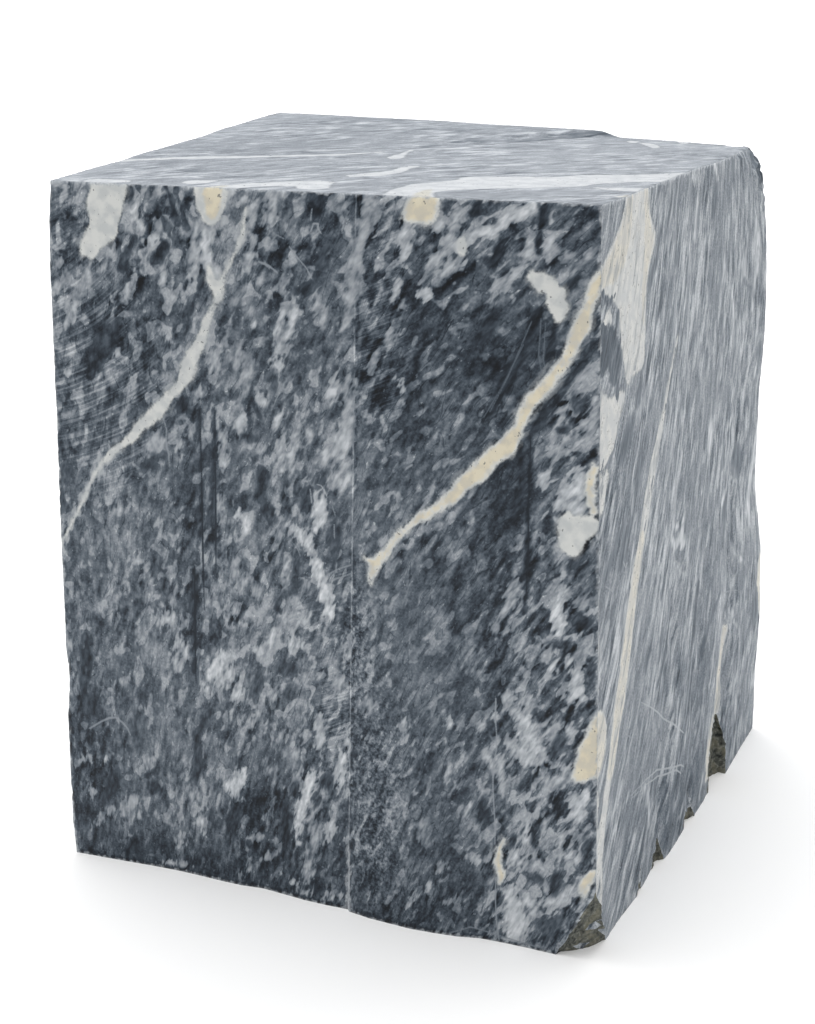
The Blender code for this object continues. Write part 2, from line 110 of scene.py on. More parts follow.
# Every marking is in millimetres on its own face: front is x, z; right and left y, z;
# top x, y; back x, z. Tones run from 0, black, to 1, white. A stroke with a tone is
# (tone, points), a point is (a, b, half width).
frontMarks = {
    "baseTone": 0.42,
    "creamStrokes": [
        [(193, 458, 5), (186, 449, 4.4), (182, 440, 3.6), (178, 426, 5.6), (173, 415, 4.6),
          (168.5, 403, 3.8), (163, 395, 4), (154.5, 384, 4.6), (147.5, 376, 4.4), (142, 366, 4.2),
          (138, 356, 4.1), (132, 345, 6.2), (121, 337, 5.4), (113, 326, 6), (104, 318, 4.8),
          (95.5, 308, 4.6), (88, 302, 3), (78.5, 294, 3.6), (70, 289, 2.7), (62, 281, 2.5),
          (56.5, 275.5, 2.6), (52, 267, 2.4), (46.5, 261.5, 3.8), (43.5, 255, 3.2), (40, 249, 2.2),
          (39, 243, 1.2)], [(36, 259, 1.2), (42, 257, 4)],
        [(189, 338, 2.4), (186, 330, 3.2), (186, 320, 3.2), (189, 310, 2.4)],
        [(134, 77, 0.8), (131, 69, 2.1), (130, 60, 2.9), (133, 50, 2.7), (131, 44, 1.2)],
        [(196, 64, 3.2), (191, 57, 4), (190, 49, 3.2)],
    ],
    "creamOutlines": [
        [(66, 500), (86, 500), (85, 488), (82, 481), (76, 478), (71, 480), (64, 479), (60, 481)],
        [(-78, 500), (-62, 500), (-62, 488), (-65, 474), (-70, 470), (-76, 473), (-78, 484)],
        [(200, 182), (192, 172), (188, 162), (184, 150), (181, 140), (180, 128), (184, 125), (190, 129),
          (195, 132), (200, 133)],
    ],
    "whiteStrokes": [
        [(-68, 423, 1.7), (-71, 416.5, 1.6), (-76, 408.5, 2.8), (-79.5, 398.5, 2.2), (-83.5, 389, 3.8),
          (-90, 380, 4.8), (-93, 370, 5.4), (-98, 361, 3.1), (-106.5, 352.5, 3.3), (-114.5, 344.5, 4.3),
          (-122, 336, 4.1), (-130.5, 330, 3.2), (-136, 322, 3.2), (-143.5, 316.5, 2.1),
          (-152.5, 309.5, 1.8), (-161, 301.5, 1.3)], [(101, 470, 2.4), (101, 465, 3.2)],
        [(-74, 441, 1.2), (-73, 434, 2.6), (-69, 429, 4), (-68, 423, 2.6)],
        [(-67, 428, 2.2), (-62, 439, 1.3), (-55, 452, 1), (-49, 465, 1.1), (-46, 482, 0.6)],
        [(-161, 301.5, 1.2), (-168.5, 290, 0.9), (-174.5, 278, 0.8), (-181, 265.5, 0.8), (-189, 252, 0.7),
          (-200, 234, 0.9)],
    ],
    "whiteOutlines": [
        [(-84, 500), (-58, 500), (-59, 490), (-62, 478), (-68, 468), (-76, 469), (-82, 480)],
        [(-160, 500), (-133, 500), (-133, 485), (-136, 477), (-139, 469), (-140, 461), (-143, 455),
          (-150, 452), (-156, 446), (-160, 440), (-165, 442), (-171, 443), (-169, 452), (-166, 460),
          (-161, 466), (-164, 474), (-163, 481), (-159, 488)],
        [(142, 453), (144, 457), (149, 455), (153, 456), (157, 453), (161, 452), (163, 447), (167, 446),
          (167, 440), (169, 436), (167, 430), (164, 426), (161, 425), (158, 431), (155, 436), (155, 442),
          (150, 443), (146, 448)],
        [(166, 294), (167, 304), (172, 309), (179, 304), (186, 308), (193, 304), (192, 296), (186, 291),
          (182, 283), (176, 279), (169, 281), (166, 288)],
    ],
    "lightStrokes": [
        (0.67, [(-152, 309, 2.2), (-161, 301, 2), (-168.5, 290, 1.9), (-174.5, 278, 1.8),
          (-181, 265.5, 1.7), (-189, 252, 1.6), (-198, 234, 1.8)]),
        (0.67, [(-131, 479, 2.5), (-127, 475, 3.6), (-124, 467, 3), (-122, 459, 2), (-121, 452, 1)]),
        (0.55, [(-89, 438, 1.5), (-86, 450, 2.5), (-84, 460, 3), (-82, 470, 2)]),
        (0.67, [(-90, 426, 2), (-87, 434, 3), (-82, 443, 2.6), (-78, 452, 2)]),
        (0.6, [(-188, 443, 1.5), (-184, 434, 3), (-182, 427, 3), (-188, 420, 3), (-195, 415, 2)]),
        (0.61, [(-176, 413, 3), (-180, 403, 4), (-183, 395, 2)]),
        (0.55, [(-162, 437, 1.5), (-165, 428, 2.5), (-168, 417, 2.5)]),
        (0.6, [(-152, 435, 1.6), (-149, 443, 3), (-144, 451, 3), (-141, 454, 1)]),
        (0.68, [(-69, 428, 2.5), (-62, 440, 1.8), (-54, 453, 1.5), (-48, 466, 1.8), (-44, 487, 1.2)]),
        (0.67, [(-70, 431, 4), (-74, 443, 5), (-76, 455, 4), (-72, 466, 5), (-66, 478, 5), (-58, 496, 6)]),
        (0.63, [(-22, 497, 3.5), (-27, 485, 4), (-32, 476, 3), (-36, 467, 1.4)]),
        (0.55, [(-37, 487, 2), (-40, 477, 2.5), (-43, 470, 1.5)]),
        (0.59, [(-42, 464, 2), (-44, 452, 3), (-46, 442, 1.5)]),
        (0.63, [(-13, 425, 2), (-15, 416, 5), (-19, 405, 5), (-25, 393, 4), (-27, 389, 1)]),
        (0.56, [(31, 462, 4), (28, 446, 5), (27, 431, 5), (24, 419, 4), (20, 409, 2)]),
        (0.58, [(40, 490, 5), (38, 477, 6), (33, 464, 4)]),
        (0.55, [(24, 374, 4), (23, 356, 5), (22, 338, 6)]),
        (0.55, [(39, 384, 1.5), (44, 395, 2.5), (50, 404, 2), (59, 413, 1.4)]),
        (0.65, [(65, 480, 4), (62, 470, 5), (62, 462, 3)]),
        (0.63, [(95, 474, 3), (92, 462, 3), (91, 451, 2.5)]), (0.57, [(80, 452, 2), (74, 444, 1.4)]),
        (0.67, [(104, 472, 3), (112, 477, 2.6), (119, 477, 3.5), (125, 480, 3), (128, 486, 4),
          (134, 489, 4), (140, 490, 3), (148, 497, 2.6)]),
        (0.55, [(100, 462, 2), (98, 455, 1.2), (95, 446, 1)]),
        (0.61, [(125, 445, 2.4), (131, 451, 3), (139, 458, 1.8)]),
        (0.65, [(148, 482, 2), (145, 474, 4), (143, 467, 4), (148, 463, 2.6)]),
        (0.65, [(158, 479, 2.6), (157, 470, 4), (155, 462, 2)]), (0.57, [(157, 431, 1.5), (158, 424, 1.4)]),
        (0.55, [(170, 457, 1), (177, 464, 1.6), (187, 470, 1.6)]),
        (0.61, [(184, 401, 2), (177, 395, 2.6), (170, 389, 3), (164, 385, 2)]),
        (0.61, [(186, 391, 1.6), (179, 387, 2.2), (173, 382, 2.4), (168, 378, 1.4)]),
        (0.61, [(169, 375, 1.8), (166, 367, 3), (163, 361, 2)]),
        (0.61, [(173, 374, 2), (179, 367, 3.2), (187, 362, 3)]),
        (0.6, [(164, 351, 2), (170, 356, 2.6), (176, 352, 2), (182, 357, 2.6), (188, 368, 2.4),
          (188, 380, 2)]), (0.59, [(162, 341, 3), (167, 347, 2), (173, 344, 1.4)]),
        (0.63, [(-66, 330, 3.6), (-68, 321, 5), (-67, 312, 3)]),
        (0.63, [(-142, 234, 0.9), (-133, 232.8, 0.9)]),
        (0.64, [(-111, 201, 2.4), (-116, 195, 4), (-123, 190, 2)]),
        (0.74, [(-18, 272, 3.5), (-13, 269, 3.6), (-7, 268, 3), (-4, 262, 3), (-2, 254, 3.6), (1, 246, 5),
          (5, 240, 5), (6, 232, 4), (8, 225, 4.6), (9, 216, 3)]),
        (0.71, [(3, 298, 3.6), (2, 288, 5.6), (0, 281, 4), (-2, 274, 2.4)]),
        (0.65, [(-52, 344, 3), (-56, 335, 3.6), (-59, 330, 2)]),
        (0.64, [(-23, 338, 2.4), (-24, 323, 3), (-25, 311, 2.4)]),
        (0.59, [(-12, 343, 2), (-14, 328, 3), (-20, 313, 2.4)]),
        (0.61, [(2, 320, 4), (11, 325, 6), (20, 334, 7), (23, 350, 5)]),
        (0.62, [(8, 311, 3), (16, 305, 5), (22, 318, 6)]),
        (0.65, [(-28, 204, 2), (-32, 196, 3), (-36, 187, 4), (-45, 179, 4.4)]),
        (0.59, [(-22, 252, 2.4), (-22, 239, 3), (-26, 229, 2)]),
        (0.57, [(-26, 276, 2), (-28, 264, 2), (-29, 256, 1)]),
        (0.61, [(-4, 215, 2), (-12, 207, 3), (-19, 201, 2)]),
        (0.59, [(-8, 233, 3), (-14, 226, 2.6), (-21, 217, 2), (-29, 209, 1.4)]),
        (0.63, [(24, 203, 1.2), (24, 189, 1.4)]), (0.63, [(168, 327, 3), (170, 318, 5), (165, 311, 4)]),
        (0.67, [(181, 332, 5), (178, 320, 6), (176, 308, 6)]),
        (0.73, [(169, 251, 1.4), (168, 243, 3.6), (168, 234, 5.2), (168, 228, 3)]),
        (0.55, [(148, 301, 1.4), (144, 291, 2.4), (141, 283, 2)]),
        (0.57, [(141, 259, 2), (137, 248, 3.6), (132, 235, 3)]), (0.63, [(165, 217, 3), (160, 211, 3.6)]),
        (0.67, [(182, 202, 4), (180, 192, 5.4), (187, 187, 3)]), (0.63, [(171, 187, 2.4), (178, 182, 3.4)]),
        (0.57, [(148, 204, 1), (147, 189, 1.6)]),
        (0.53, [(119, 208, 1.2), (110, 200, 1.8), (103, 194, 1.4)]),
        (0.68, [(-69, 174, 4), (-76, 165, 5.4), (-84, 155, 4.4), (-88, 146, 2.4)]),
        (0.63, [(-68, 161, 4), (-74, 150, 4), (-81, 143, 2)]),
        (0.71, [(-59, 90, 2), (-64, 81, 4.4), (-67, 75, 5.2), (-65, 66, 1.6)]),
        (0.53, [(-183, 24, 1.4), (-174, 33, 2), (-164, 41, 2)]), (0.55, [(-160, 20, 1), (-151, 22, 1)]),
        (0.57, [(-159, 138, 1), (-149, 146, 1.6)]),
        (0.72, [(-5, 99, 2), (-7, 91, 5), (-10, 82, 5), (-12, 73, 3.6), (-15, 64, 3), (-18, 55, 2),
          (-20, 44, 1.4)]), (0.59, [(-14, 101, 1.2), (-19, 91, 2), (-25, 80, 1.6)]),
        (0.72, [(17, 117, 2.4), (16, 107, 4), (14, 98, 4), (12, 91, 1.4)]),
        (0.67, [(22, 127, 1), (23, 121, 2), (22, 115, 1)]),
        (0.65, [(2, 142, 2.4), (1, 131, 3.6), (0, 121, 3.6), (1, 113, 2)]),
        (0.67, [(10, 64, 1.4), (9, 58, 3), (5, 52, 2.4)]),
        (0.53, [(1, 78, 2), (-3, 71, 2), (-6, 64, 4), (-4, 50, 5), (-7, 38, 4)]),
        (0.55, [(-48, 41, 1.2), (-55, 37, 2.5), (-60, 31, 1.5), (-56, 27, 1.5), (-57, 20, 2),
          (-58, 12, 1.5), (-64, 3, 1)]), (0.55, [(-47, 23, 1), (-40, 28, 1.6), (-32, 36, 1)]),
        (0.65, [(150, 177, 5), (147, 166, 6), (148, 156, 7), (153, 148, 6), (159, 142, 5)]),
        (0.59, [(134, 178, 4), (138, 168, 4.4)]),
        (0.63, [(137, 148, 4), (143, 141, 5), (152, 137, 5), (163, 138, 2.6)]),
        (0.59, [(130, 132, 3), (133, 120, 4), (132, 111, 2)]), (0.57, [(126, 127, 3.4), (120, 138, 3.4)]),
        (0.64, [(181, 134, 3), (174, 127, 4), (165, 120, 3)]),
        (0.67, [(188, 120, 4), (182, 111, 5), (187, 104, 4), (178, 101, 4)]),
        (0.63, [(176, 71, 2.6), (173, 80, 2), (175, 89, 2), (181, 92, 2.6), (187, 87, 3), (189, 80, 2.4),
          (184, 73, 2.6), (177, 71, 2.6)]),
        (0.66, [(157, 103, 1.4), (152, 94, 2.6), (151, 85, 3), (152, 76, 3), (155, 71, 1.6)]),
        (0.53, [(160, 101, 1), (163, 90, 2), (161, 78, 1.4)]),
        (0.67, [(146, 72, 1.4), (141, 67, 3.6), (138, 59, 2.4)]),
        (0.67, [(137, 40, 5), (142, 28, 9), (145, 16, 10), (143, 6, 7)]),
        (0.63, [(150, 38, 5), (156, 30, 5)]),
        (0.66, [(159, 34, 2.4), (168, 37, 3.6), (176, 41, 3.6), (183, 49, 3)]),
        (0.61, [(155, 73, 3), (157, 63, 4), (149, 60, 3), (160, 56, 2.4), (166, 44, 2)]),
        (0.63, [(109, 60, 1.6), (118, 58, 3), (127, 61, 3)]),
    ],
    "lightFlecks": [
        (-113, 456, 6, 4, 60, 0.65), (-108, 467, 6, 3, 60, 0.61), (-104, 489, 11, 3.5, 8, 0.57),
        (-108, 430, 5, 3, 80, 0.61), (-100, 422, 5, 3, 70, 0.63), (-86, 404, 5, 3, 80, 0.63),
        (-172, 418, 5, 3, 60, 0.55), (-146, 379, 4, 1.8, 80, 0.67), (-130, 428, 2.6, 1.2, 60, 0.73),
        (-134, 422, 4, 1.2, 60, 0.65), (-148, 414, 2.6, 1, 60, 0.67), (-186, 362, 1.6, 1.3, 90, 0.65),
        (-72, 382, 8, 3, 80, 0.63), (-75, 397, 2, 1.4, 90, 0.65), (-83, 357, 7, 2.6, 62, 0.63),
        (-27, 381, 8, 3.3, 85, 0.69), (-24, 369, 4, 1.3, 85, 0.57), (2, 429, 6, 2.6, 75, 0.62),
        (6, 416, 7, 4, 110, 0.58), (15, 371, 8, 3, 65, 0.65), (13, 488, 5, 3, 30, 0.55),
        (22, 486, 3, 2, 60, 0.55), (-48, 372, 14, 5, 75, 0.55), (-39, 357, 5, 3.7, 110, 0.65),
        (-36, 350, 4, 1.2, 70, 0.6), (-27, 347, 5, 2.8, 70, 0.65), (58, 435, 5, 4, 70, 0.62),
        (61, 428, 4, 2, 60, 0.57), (57, 381, 1.8, 1.2, 20, 0.65), (63, 365, 1.8, 1.5, 90, 0.65),
        (63, 374, 1.6, 1.2, 0, 0.63), (70, 379, 1.4, 1, 30, 0.6), (86, 477, 5, 4, 100, 0.65),
        (96, 482, 9, 5, 80, 0.61), (84, 457, 8, 6, 40, 0.61), (76, 436, 5, 4, 20, 0.72),
        (101, 467, 6, 5.2, 70, 0.79), (167, 466, 4, 3, 60, 0.53), (150, 342, 4, 2, 70, 0.55),
        (183, 347, 3.4, 2.6, 30, 0.59), (-102, 316, 5, 2.6, 60, 0.61), (-93, 330, 5, 2, 75, 0.59),
        (-118, 318, 10, 7, 60, 0.55), (-73, 279, 11, 3, 80, 0.59), (-80, 292, 4, 2, 90, 0.55),
        (-150, 268, 3.4, 1.8, 30, 0.59), (-138, 241, 1.6, 1, 45, 0.69), (-100, 191, 4, 2.3, 75, 0.59),
        (-84, 213, 4, 2, 80, 0.57), (-108, 216, 5, 4, 60, 0.55), (-107, 172, 8, 4, 40, 0.63),
        (-107, 160, 8, 3, 50, 0.61), (-54, 271, 6.6, 4.2, 95, 0.74), (-39, 325, 4, 2.3, 90, 0.61),
        (-30, 341, 5, 3, 60, 0.65), (-5, 337, 4, 2.3, 80, 0.63), (-8, 325, 3, 2, 60, 0.57),
        (36, 290, 6, 2.5, 75, 0.57), (-18, 189, 5, 4, 30, 0.7), (-66, 205, 8, 4, 80, 0.65),
        (-60, 243, 8, 3.4, 60, 0.55), (-55, 232, 6, 4, 60, 0.59), (-44, 222, 6, 3, 60, 0.55),
        (157, 327, 6, 3.6, 80, 0.63), (173, 255, 3, 2, 120, 0.61), (165, 258, 5, 2, 60, 0.57),
        (138, 226, 5, 3, 60, 0.59), (127, 224, 5, 2, 60, 0.55), (166, 206, 4.4, 2.5, 80, 0.65),
        (177, 206, 5, 3, 80, 0.65), (181, 214, 4, 2, 70, 0.55), (184, 251, 8, 3, 30, 0.55),
        (113, 192, 4, 2.5, 60, 0.55), (-64, 147, 10, 3.6, 75, 0.67), (-135, 81, 6, 4.6, 120, 0.6),
        (-94, 43, 6, 3.7, 100, 0.66), (-151, 47, 11, 6, 60, 0.55), (-148, 38, 5, 3, 30, 0.58),
        (-110, 26, 6, 4, 30, 0.62), (-188, 75, 5, 2, 20, 0.6), (-193, 71, 4, 1.5, 60, 0.55),
        (-171, 77, 2.6, 1.5, 45, 0.65), (-182, 51, 2.2, 1, 60, 0.6), (-120, 4.5, 9, 1.9, 8, 0.63),
        (-100, 62, 6, 4, 60, 0.55), (-197, 160, 12, 3, 95, 0.6), (-53, 127, 6, 3.6, 100, 0.61),
        (-38, 92, 9, 5, 110, 0.52), (-9, 28, 12, 5, 85, 0.56), (-17, 164, 1.8, 1.5, 0, 0.65),
        (-23, 166, 2.3, 1.8, 0, 0.65), (1, 170, 2, 1.6, 90, 0.65), (-33, 17, 1.2, 0.9, 0, 0.65),
        (-22, 12, 2.2, 1.3, 45, 0.67), (2, 99, 1.5, 1.1, 0, 0.65), (15, 168, 6, 4, 60, 0.59),
        (36, 157, 6, 5, 60, 0.53), (36, 133, 2.5, 2, 60, 0.63), (9, 8, 5, 3, 30, 0.63),
        (-12, 5, 4, 2.5, 20, 0.63), (64, 147, 5, 2, 100, 0.61), (97, 155, 3.6, 1.8, 75, 0.67),
        (96, 118, 3, 1.5, 90, 0.61), (79, 74, 9, 5, 80, 0.49), (72, 100, 2, 1.5, 0, 0.61),
        (117, 156, 4, 2, 60, 0.61), (127, 163, 4, 1.5, 90, 0.65), (119, 108, 3.6, 2, 60, 0.61),
        (109, 95, 5, 2.5, 60, 0.59), (105, 116, 4, 1.6, 80, 0.57), (177, 163, 5, 4, 30, 0.65),
        (162, 163, 4, 3, 60, 0.59), (166, 156, 4, 1.5, 80, 0.59), (92, 50, 3.6, 1.5, 40, 0.55),
        (84, 35, 2.5, 1.2, 60, 0.65), (72, 24, 3.6, 1, 60, 0.61), (103, 28, 6, 1.5, 20, 0.55),
        (-45, 418, 6, 3, 70, 0.52), (-43, 406, 1.2, 1, 0, 0.67), (-55, 386, 8, 4, 75, 0.54),
        (-62, 398, 7, 1.4, 75, 0.59), (-37, 436, 2.4, 1.3, 20, 0.61), (-22, 434, 6, 2.4, 60, 0.59),
        (-55, 421, 6, 3.4, 60, 0.51), (26, 427, 1.2, 1, 0, 0.69), (4, 381, 1.4, 1, 0, 0.61),
        (-9, 367, 1.2, 1, 0, 0.65), (45, 452, 1.8, 1.6, 0, 0.59), (-30, 120, 6, 2.4, 60, 0.57),
        (-44, 135, 7, 2.6, 60, 0.57), (-20, 110, 5, 2, 60, 0.55), (-33, 150, 5, 2.4, 60, 0.57),
    ],
    "darkStrokes": [
        # The first stroke lies along the foot at z 0: a painted contact shadow under the front's lower edge.
        (0.16, [(-200, 0, 1.4), (-150, 0, 2.2), (-120, 0, 1.2), (-60, 0, 2.4), (0, 0, 1.8), (60, 0, 2.6),
          (120, 0, 1.6), (170, 0, 2)]), (0.24, [(-103, 492, 1), (-99, 480, 1.2), (-95, 468, 1)]),
        (0.24, [(-97, 492, 1), (-93, 480, 1.2), (-88, 466, 1)]),
        (0.24, [(-91, 490, 0.9), (-88, 480, 1.1), (-85, 472, 0.9)]),
        (0.25, [(-110, 480, 1), (-106, 470, 1), (-103, 460, 1)]),
        (0.22, [(-147, 452, 1.2), (-141, 461, 1.5), (-138, 472, 1.5)]),
        (0.23, [(-139, 438, 4), (-130, 456, 3)]), (0.22, [(-78, 438, 1.4), (-83, 423, 2)]),
        (0.26, [(-38, 308, 4), (-41, 292, 5), (-33, 277, 3)]),
        (0.2, [(-84, 346, 0.5), (-85, 300, 0.7), (-87, 258, 0.9)]),
        (0.22, [(-73, 346, 0.7), (-75, 310, 1.3), (-77, 285, 1.8), (-78, 260, 1)]),
        (0.21, [(-93, 232, 2), (-94, 200, 2.3), (-95, 175, 1.6), (-96, 148, 1)]),
        (0.24, [(-96, 109, 3), (-95, 90, 4), (-99, 74, 3)]),
        (0.26, [(-83, 131, 2), (-90, 120, 3), (-95, 111, 2)]),
        (0.17, [(147, 352, 1.2), (146, 300, 1.2), (147, 270, 1.4), (145, 238, 1.2)]),
        (0.19, [(140, 347, 2), (142, 320, 2), (138, 298, 3)]),
        (0.18, [(151, 432, 2.6), (140, 405, 3), (128, 380, 3), (116, 360, 2)]),
        (0.19, [(152, 497, 2), (150, 480, 2), (149, 468, 1.4)]),
        (0.25, [(-181, 172, 3), (-181, 150, 4), (-185, 130, 3), (-178, 114, 3)]),
        (0.22, [(-137, 71, 1.3), (-127, 81, 1)]), (0.18, [(-58, 33, 1.2), (-52, 31, 1.6), (-56, 25, 1)]),
        (0.27, [(-12, 255, 2), (-16, 242, 3), (-15, 228, 3)]), (0.24, [(-24, 226, 1.4), (-30, 214, 2)]),
        (0.22, [(176, 454, 1), (168, 446, 1.6), (160, 420, 2), (158, 405, 2.4)]),
        (0.21, [(185, 415, 2), (181, 405, 2), (172, 392, 2), (160, 375, 2.4), (150, 358, 2)]),
        (0.2, [(138, 344, 1.6), (130, 333, 2), (122, 330, 2)]),
    ],
    "darkFlecks": [
        (-131, 488, 7, 3.6, 80, 0.21), (-155, 384, 20, 8, 55, 0.24), (-166, 365, 8, 4, 60, 0.19),
        (-97, 348, 7, 4, 90, 0.21), (-70, 425, 2.2, 1.3, 60, 0.17), (-90, 413, 8, 3, 70, 0.24),
        (-110, 449, 10, 4, 50, 0.22), (4, 487, 10, 5, 70, 0.21), (6, 447, 10, 4, 70, 0.26),
        (-5, 433, 7, 4, 30, 0.23), (-30, 371, 6, 2.5, 80, 0.25), (-43, 352, 5, 1.3, 120, 0.22),
        (-47, 331, 5, 2, 0, 0.24), (-7, 290, 9, 3.5, 85, 0.23), (4, 309, 6, 3, 60, 0.25),
        (13, 268, 14, 5, 85, 0.29), (110, 490, 6, 3, 90, 0.2), (124, 465, 11, 5, 60, 0.17),
        (-131, 63, 6.5, 5, 20, 0.24), (-166, 60, 13, 4, 70, 0.23), (-143, 106, 14, 5, 90, 0.34),
        (-69, 50, 14, 4, 80, 0.2), (-27, 55, 14, 4.6, 85, 0.23), (-20, 84, 5, 3, 60, 0.24),
        (-3, 79, 5, 2.6, 60, 0.25), (6, 93, 6, 4, 70, 0.24), (-150, 15, 10, 4, 60, 0.22),
        (155, 83, 9, 2, 92, 0.2), (191, 84, 8, 3, 85, 0.24), (163, 8, 6, 3, 20, 0.18),
        (168, 20, 9, 6, 40, 0.28), (171, 53, 8, 4, 80, 0.25), (157, 52, 6, 4, 0, 0.26),
        (120, 93, 9, 4, 85, 0.21), (131, 30, 5, 2, 80, 0.2), (169, 219, 6, 3, 30, 0.24),
        (184, 237, 7, 5, 0, 0.22), (178, 274, 8, 4, 30, 0.22), (190, 205, 5, 2, 80, 0.25),
        (140, 76, 5, 2, 60, 0.24), (156, 170, 5, 4, 0, 0.24), (170, 149, 9, 4, 60, 0.27),
        (-25, 171, 8, 5, 20, 0.28), (-47, 156, 10, 3, 60, 0.28), (27, 118, 4, 3, 60, 0.22),
        (-178, 118, 6, 3, 60, 0.23), (-190, 290, 8, 5, 60, 0.3), (-196, 270, 9, 4, 80, 0.3),
        (-22, 157, 6, 3, 60, 0.3), (-122, 306, 9, 3.4, 35, 0.27), (-158, 450, 5, 2, 60, 0.25),
        (180, 410, 5, 2, 60, 0.2), (186, 424, 5, 1.6, 80, 0.2), (186, 437, 6, 1.6, 70, 0.2),
        (183, 433, 2, 1, 60, 0.2), (181, 427, 1.4, 1, 0, 0.22), (175, 377, 5, 2, 100, 0.24),
        (168, 359, 3, 1.6, 0, 0.24), (180, 376, 4, 1.6, 60, 0.24), (117, 418, 12, 5, 60, 0.23),
    ],
    "scratchAndStepShadeStrokes": [
        (0.19, [(-84, 352, 0.3), (-84.5, 300, 0.6), (-85.5, 250, 0.8), (-86, 205, 0.4)]),
        (0.21, [(-73, 350, 0.3), (-74, 300, 0.7), (-75, 262, 0.8), (-76, 232, 0.3)]),
        (0.19, [(-92.5, 236, 0.5), (-93.5, 200, 0.8), (-94.5, 165, 0.6), (-95, 140, 0.3)]),
        (0.19, [(147, 350, 0.4), (146.5, 310, 0.5), (147, 272, 0.6), (146, 245, 0.3)]),
        (0.62, [(-16, 459, 0.6), (-12, 454, 0.6), (-7, 449, 0.6), (-4, 446, 0.6), (-1, 440, 0.6)]),
        (0.56, [(-29, 461, 0.6), (-25, 466, 0.6), (-20, 464, 0.6)]),
        (0.6, [(-38, 448, 0.7), (-31, 446, 0.8), (-25, 442, 0.7)]), (0.6, [(0, 484, 0.6), (-1, 477, 0.6)]),
        (0.66, [(-1, 470, 0.6), (1, 475, 0.6), (4, 475, 0.7), (4, 472, 0.7), (6, 469, 0.6)]),
        (0.7, [(1, 305, 0.5), (4, 304.5, 0.5), (7, 300.5, 0.5), (8, 297, 0.5)]),
        (0.64, [(-4, 301, 0.6), (-3, 292, 0.6)]),
        (0.58, [(-17, 262, 0.5), (-14, 259, 0.5), (-12, 254, 0.5)]),
        (0.6, [(-182, 101, 0.7), (-172, 108, 0.8), (-165, 112, 0.9), (-160, 113, 0.9), (-155, 110, 0.9),
          (-151, 106, 0.8), (-149, 101, 0.6)]),
        (0.6, [(-113, 340, 0.5), (-110, 330, 0.6), (-111, 320, 0.5), (-109, 312, 0.6), (-109, 304, 0.5)]),
        (0.6, [(12, 291, 0.5), (14, 285, 0.5)]), (0.6, [(13, 279, 0.6), (13, 270, 0.6)]),
        (0.6, [(8, 244, 0.6), (16, 249, 0.6), (25, 253, 0.6)]),
        (0.58, [(9, 240, 0.6), (17, 243, 0.6), (25, 247, 0.6)]),
        (0.62, [(127, 176, 0.6), (127, 162, 0.6), (128, 150, 0.6), (128, 140, 0.5), (126, 128, 0.6),
          (126, 112, 0.6), (127, 98, 0.6), (128, 85, 0.6), (128, 72, 0.6)]),
        (0.6, [(129, 48, 0.5), (129, 30, 0.6), (130, 15, 0.6), (132, 1, 0.6)]),
        (0.44, [(116, 362, 0.5), (128, 383, 0.5), (141, 410, 0.5)]),
        (0.46, [(120, 366, 0.5), (131, 388, 0.5), (146, 425, 0.5)]),
        (0.46, [(152, 427, 0.5), (151, 405, 0.5), (153, 394, 0.5)]),
        (0.46, [(155, 425, 0.4), (154, 402, 0.5), (156, 393, 0.4)]),
        (0.5, [(88, 318, 0.4), (95, 330, 0.4), (102, 340, 0.5)]),
        (0.54, [(98, 2, 0.6), (112, 8, 0.6), (130, 5, 0.6), (150, 3, 0.6), (166, 2, 0.6)]),
    ],
    "zones": [
        (-170, 240, 45, 90, 0, 0.455, 0.8), (-145, 395, 26, 36, 60, 0.33, 0.9),
        (-96, 275, 14, 52, 0, 0.34, 0.9), (-96, 205, 13, 55, 0, 0.35, 0.8),
        (-60, 370, 26, 42, 0, 0.45, 0.7), (64, 400, 34, 66, 0, 0.28, 1.0), (104, 440, 36, 46, 0, 0.3, 0.8),
        (136, 400, 24, 42, -30, 0.25, 0.9), (132, 300, 18, 58, 0, 0.25, 1.0),
        (122, 240, 15, 42, 10, 0.29, 0.8), (126, 190, 9, 34, 0, 0.28, 0.9), (12, 315, 20, 32, 0, 0.5, 0.9),
        (176, 310, 18, 40, 0, 0.44, 0.8), (-186, 48, 24, 58, 0, 0.28, 1.0),
        (-182, 120, 12, 42, 0, 0.33, 0.8), (-115, 100, 24, 62, 0, 0.46, 0.9),
        (-48, 56, 26, 24, 0, 0.26, 1.0), (-40, 18, 46, 20, 0, 0.29, 0.9), (62, 20, 60, 24, 0, 0.29, 0.9),
        (20, 40, 26, 36, 0, 0.34, 0.6), (146, 30, 20, 30, 0, 0.5, 0.9), (85, 115, 32, 52, 0, 0.38, 0.9),
        (96, 40, 34, 40, 0, 0.31, 0.8), (-75, 160, 22, 24, 0, 0.49, 0.7), (-20, 185, 34, 34, 0, 0.48, 0.6),
        (16, 265, 12, 24, 0, 0.38, 0.6), (158, 150, 26, 26, 0, 0.43, 0.7), (4, 478, 20, 22, 0, 0.3, 0.9),
        (172, 484, 16, 18, 0, 0.31, 0.8), (-70, 465, 14, 26, 20, 0.52, 0.6),
        (-110, 415, 18, 24, 0, 0.44, 0.7), (80, 200, 40, 50, 0, 0.41, 0.6), (90, 260, 30, 36, 0, 0.36, 0.7),
        (-130, 18, 26, 18, 0, 0.34, 0.8), (-120, 6, 90, 20, 0, 0.28, 0.8),
        (-160, 330, 34, 32, 30, 0.43, 0.6), (-14, 260, 46, 90, 0, 0.5, 0.7),
        (172, 230, 26, 130, 0, 0.36, 0.7),
    ],
    "sawZones": [(-168, 372, 44, 84, 10, 1.0, 1.0), (-150, 330, 40, 26, 30, 1.0, 0.9)],
    "hatchZones": [
        (10, 146, 15, 34, 0, 1.0, 1.0), (46, 410, 18, 72, 0, 0.9, 0.9), (-4, 212, 20, 20, 0, 0.7, 0.9),
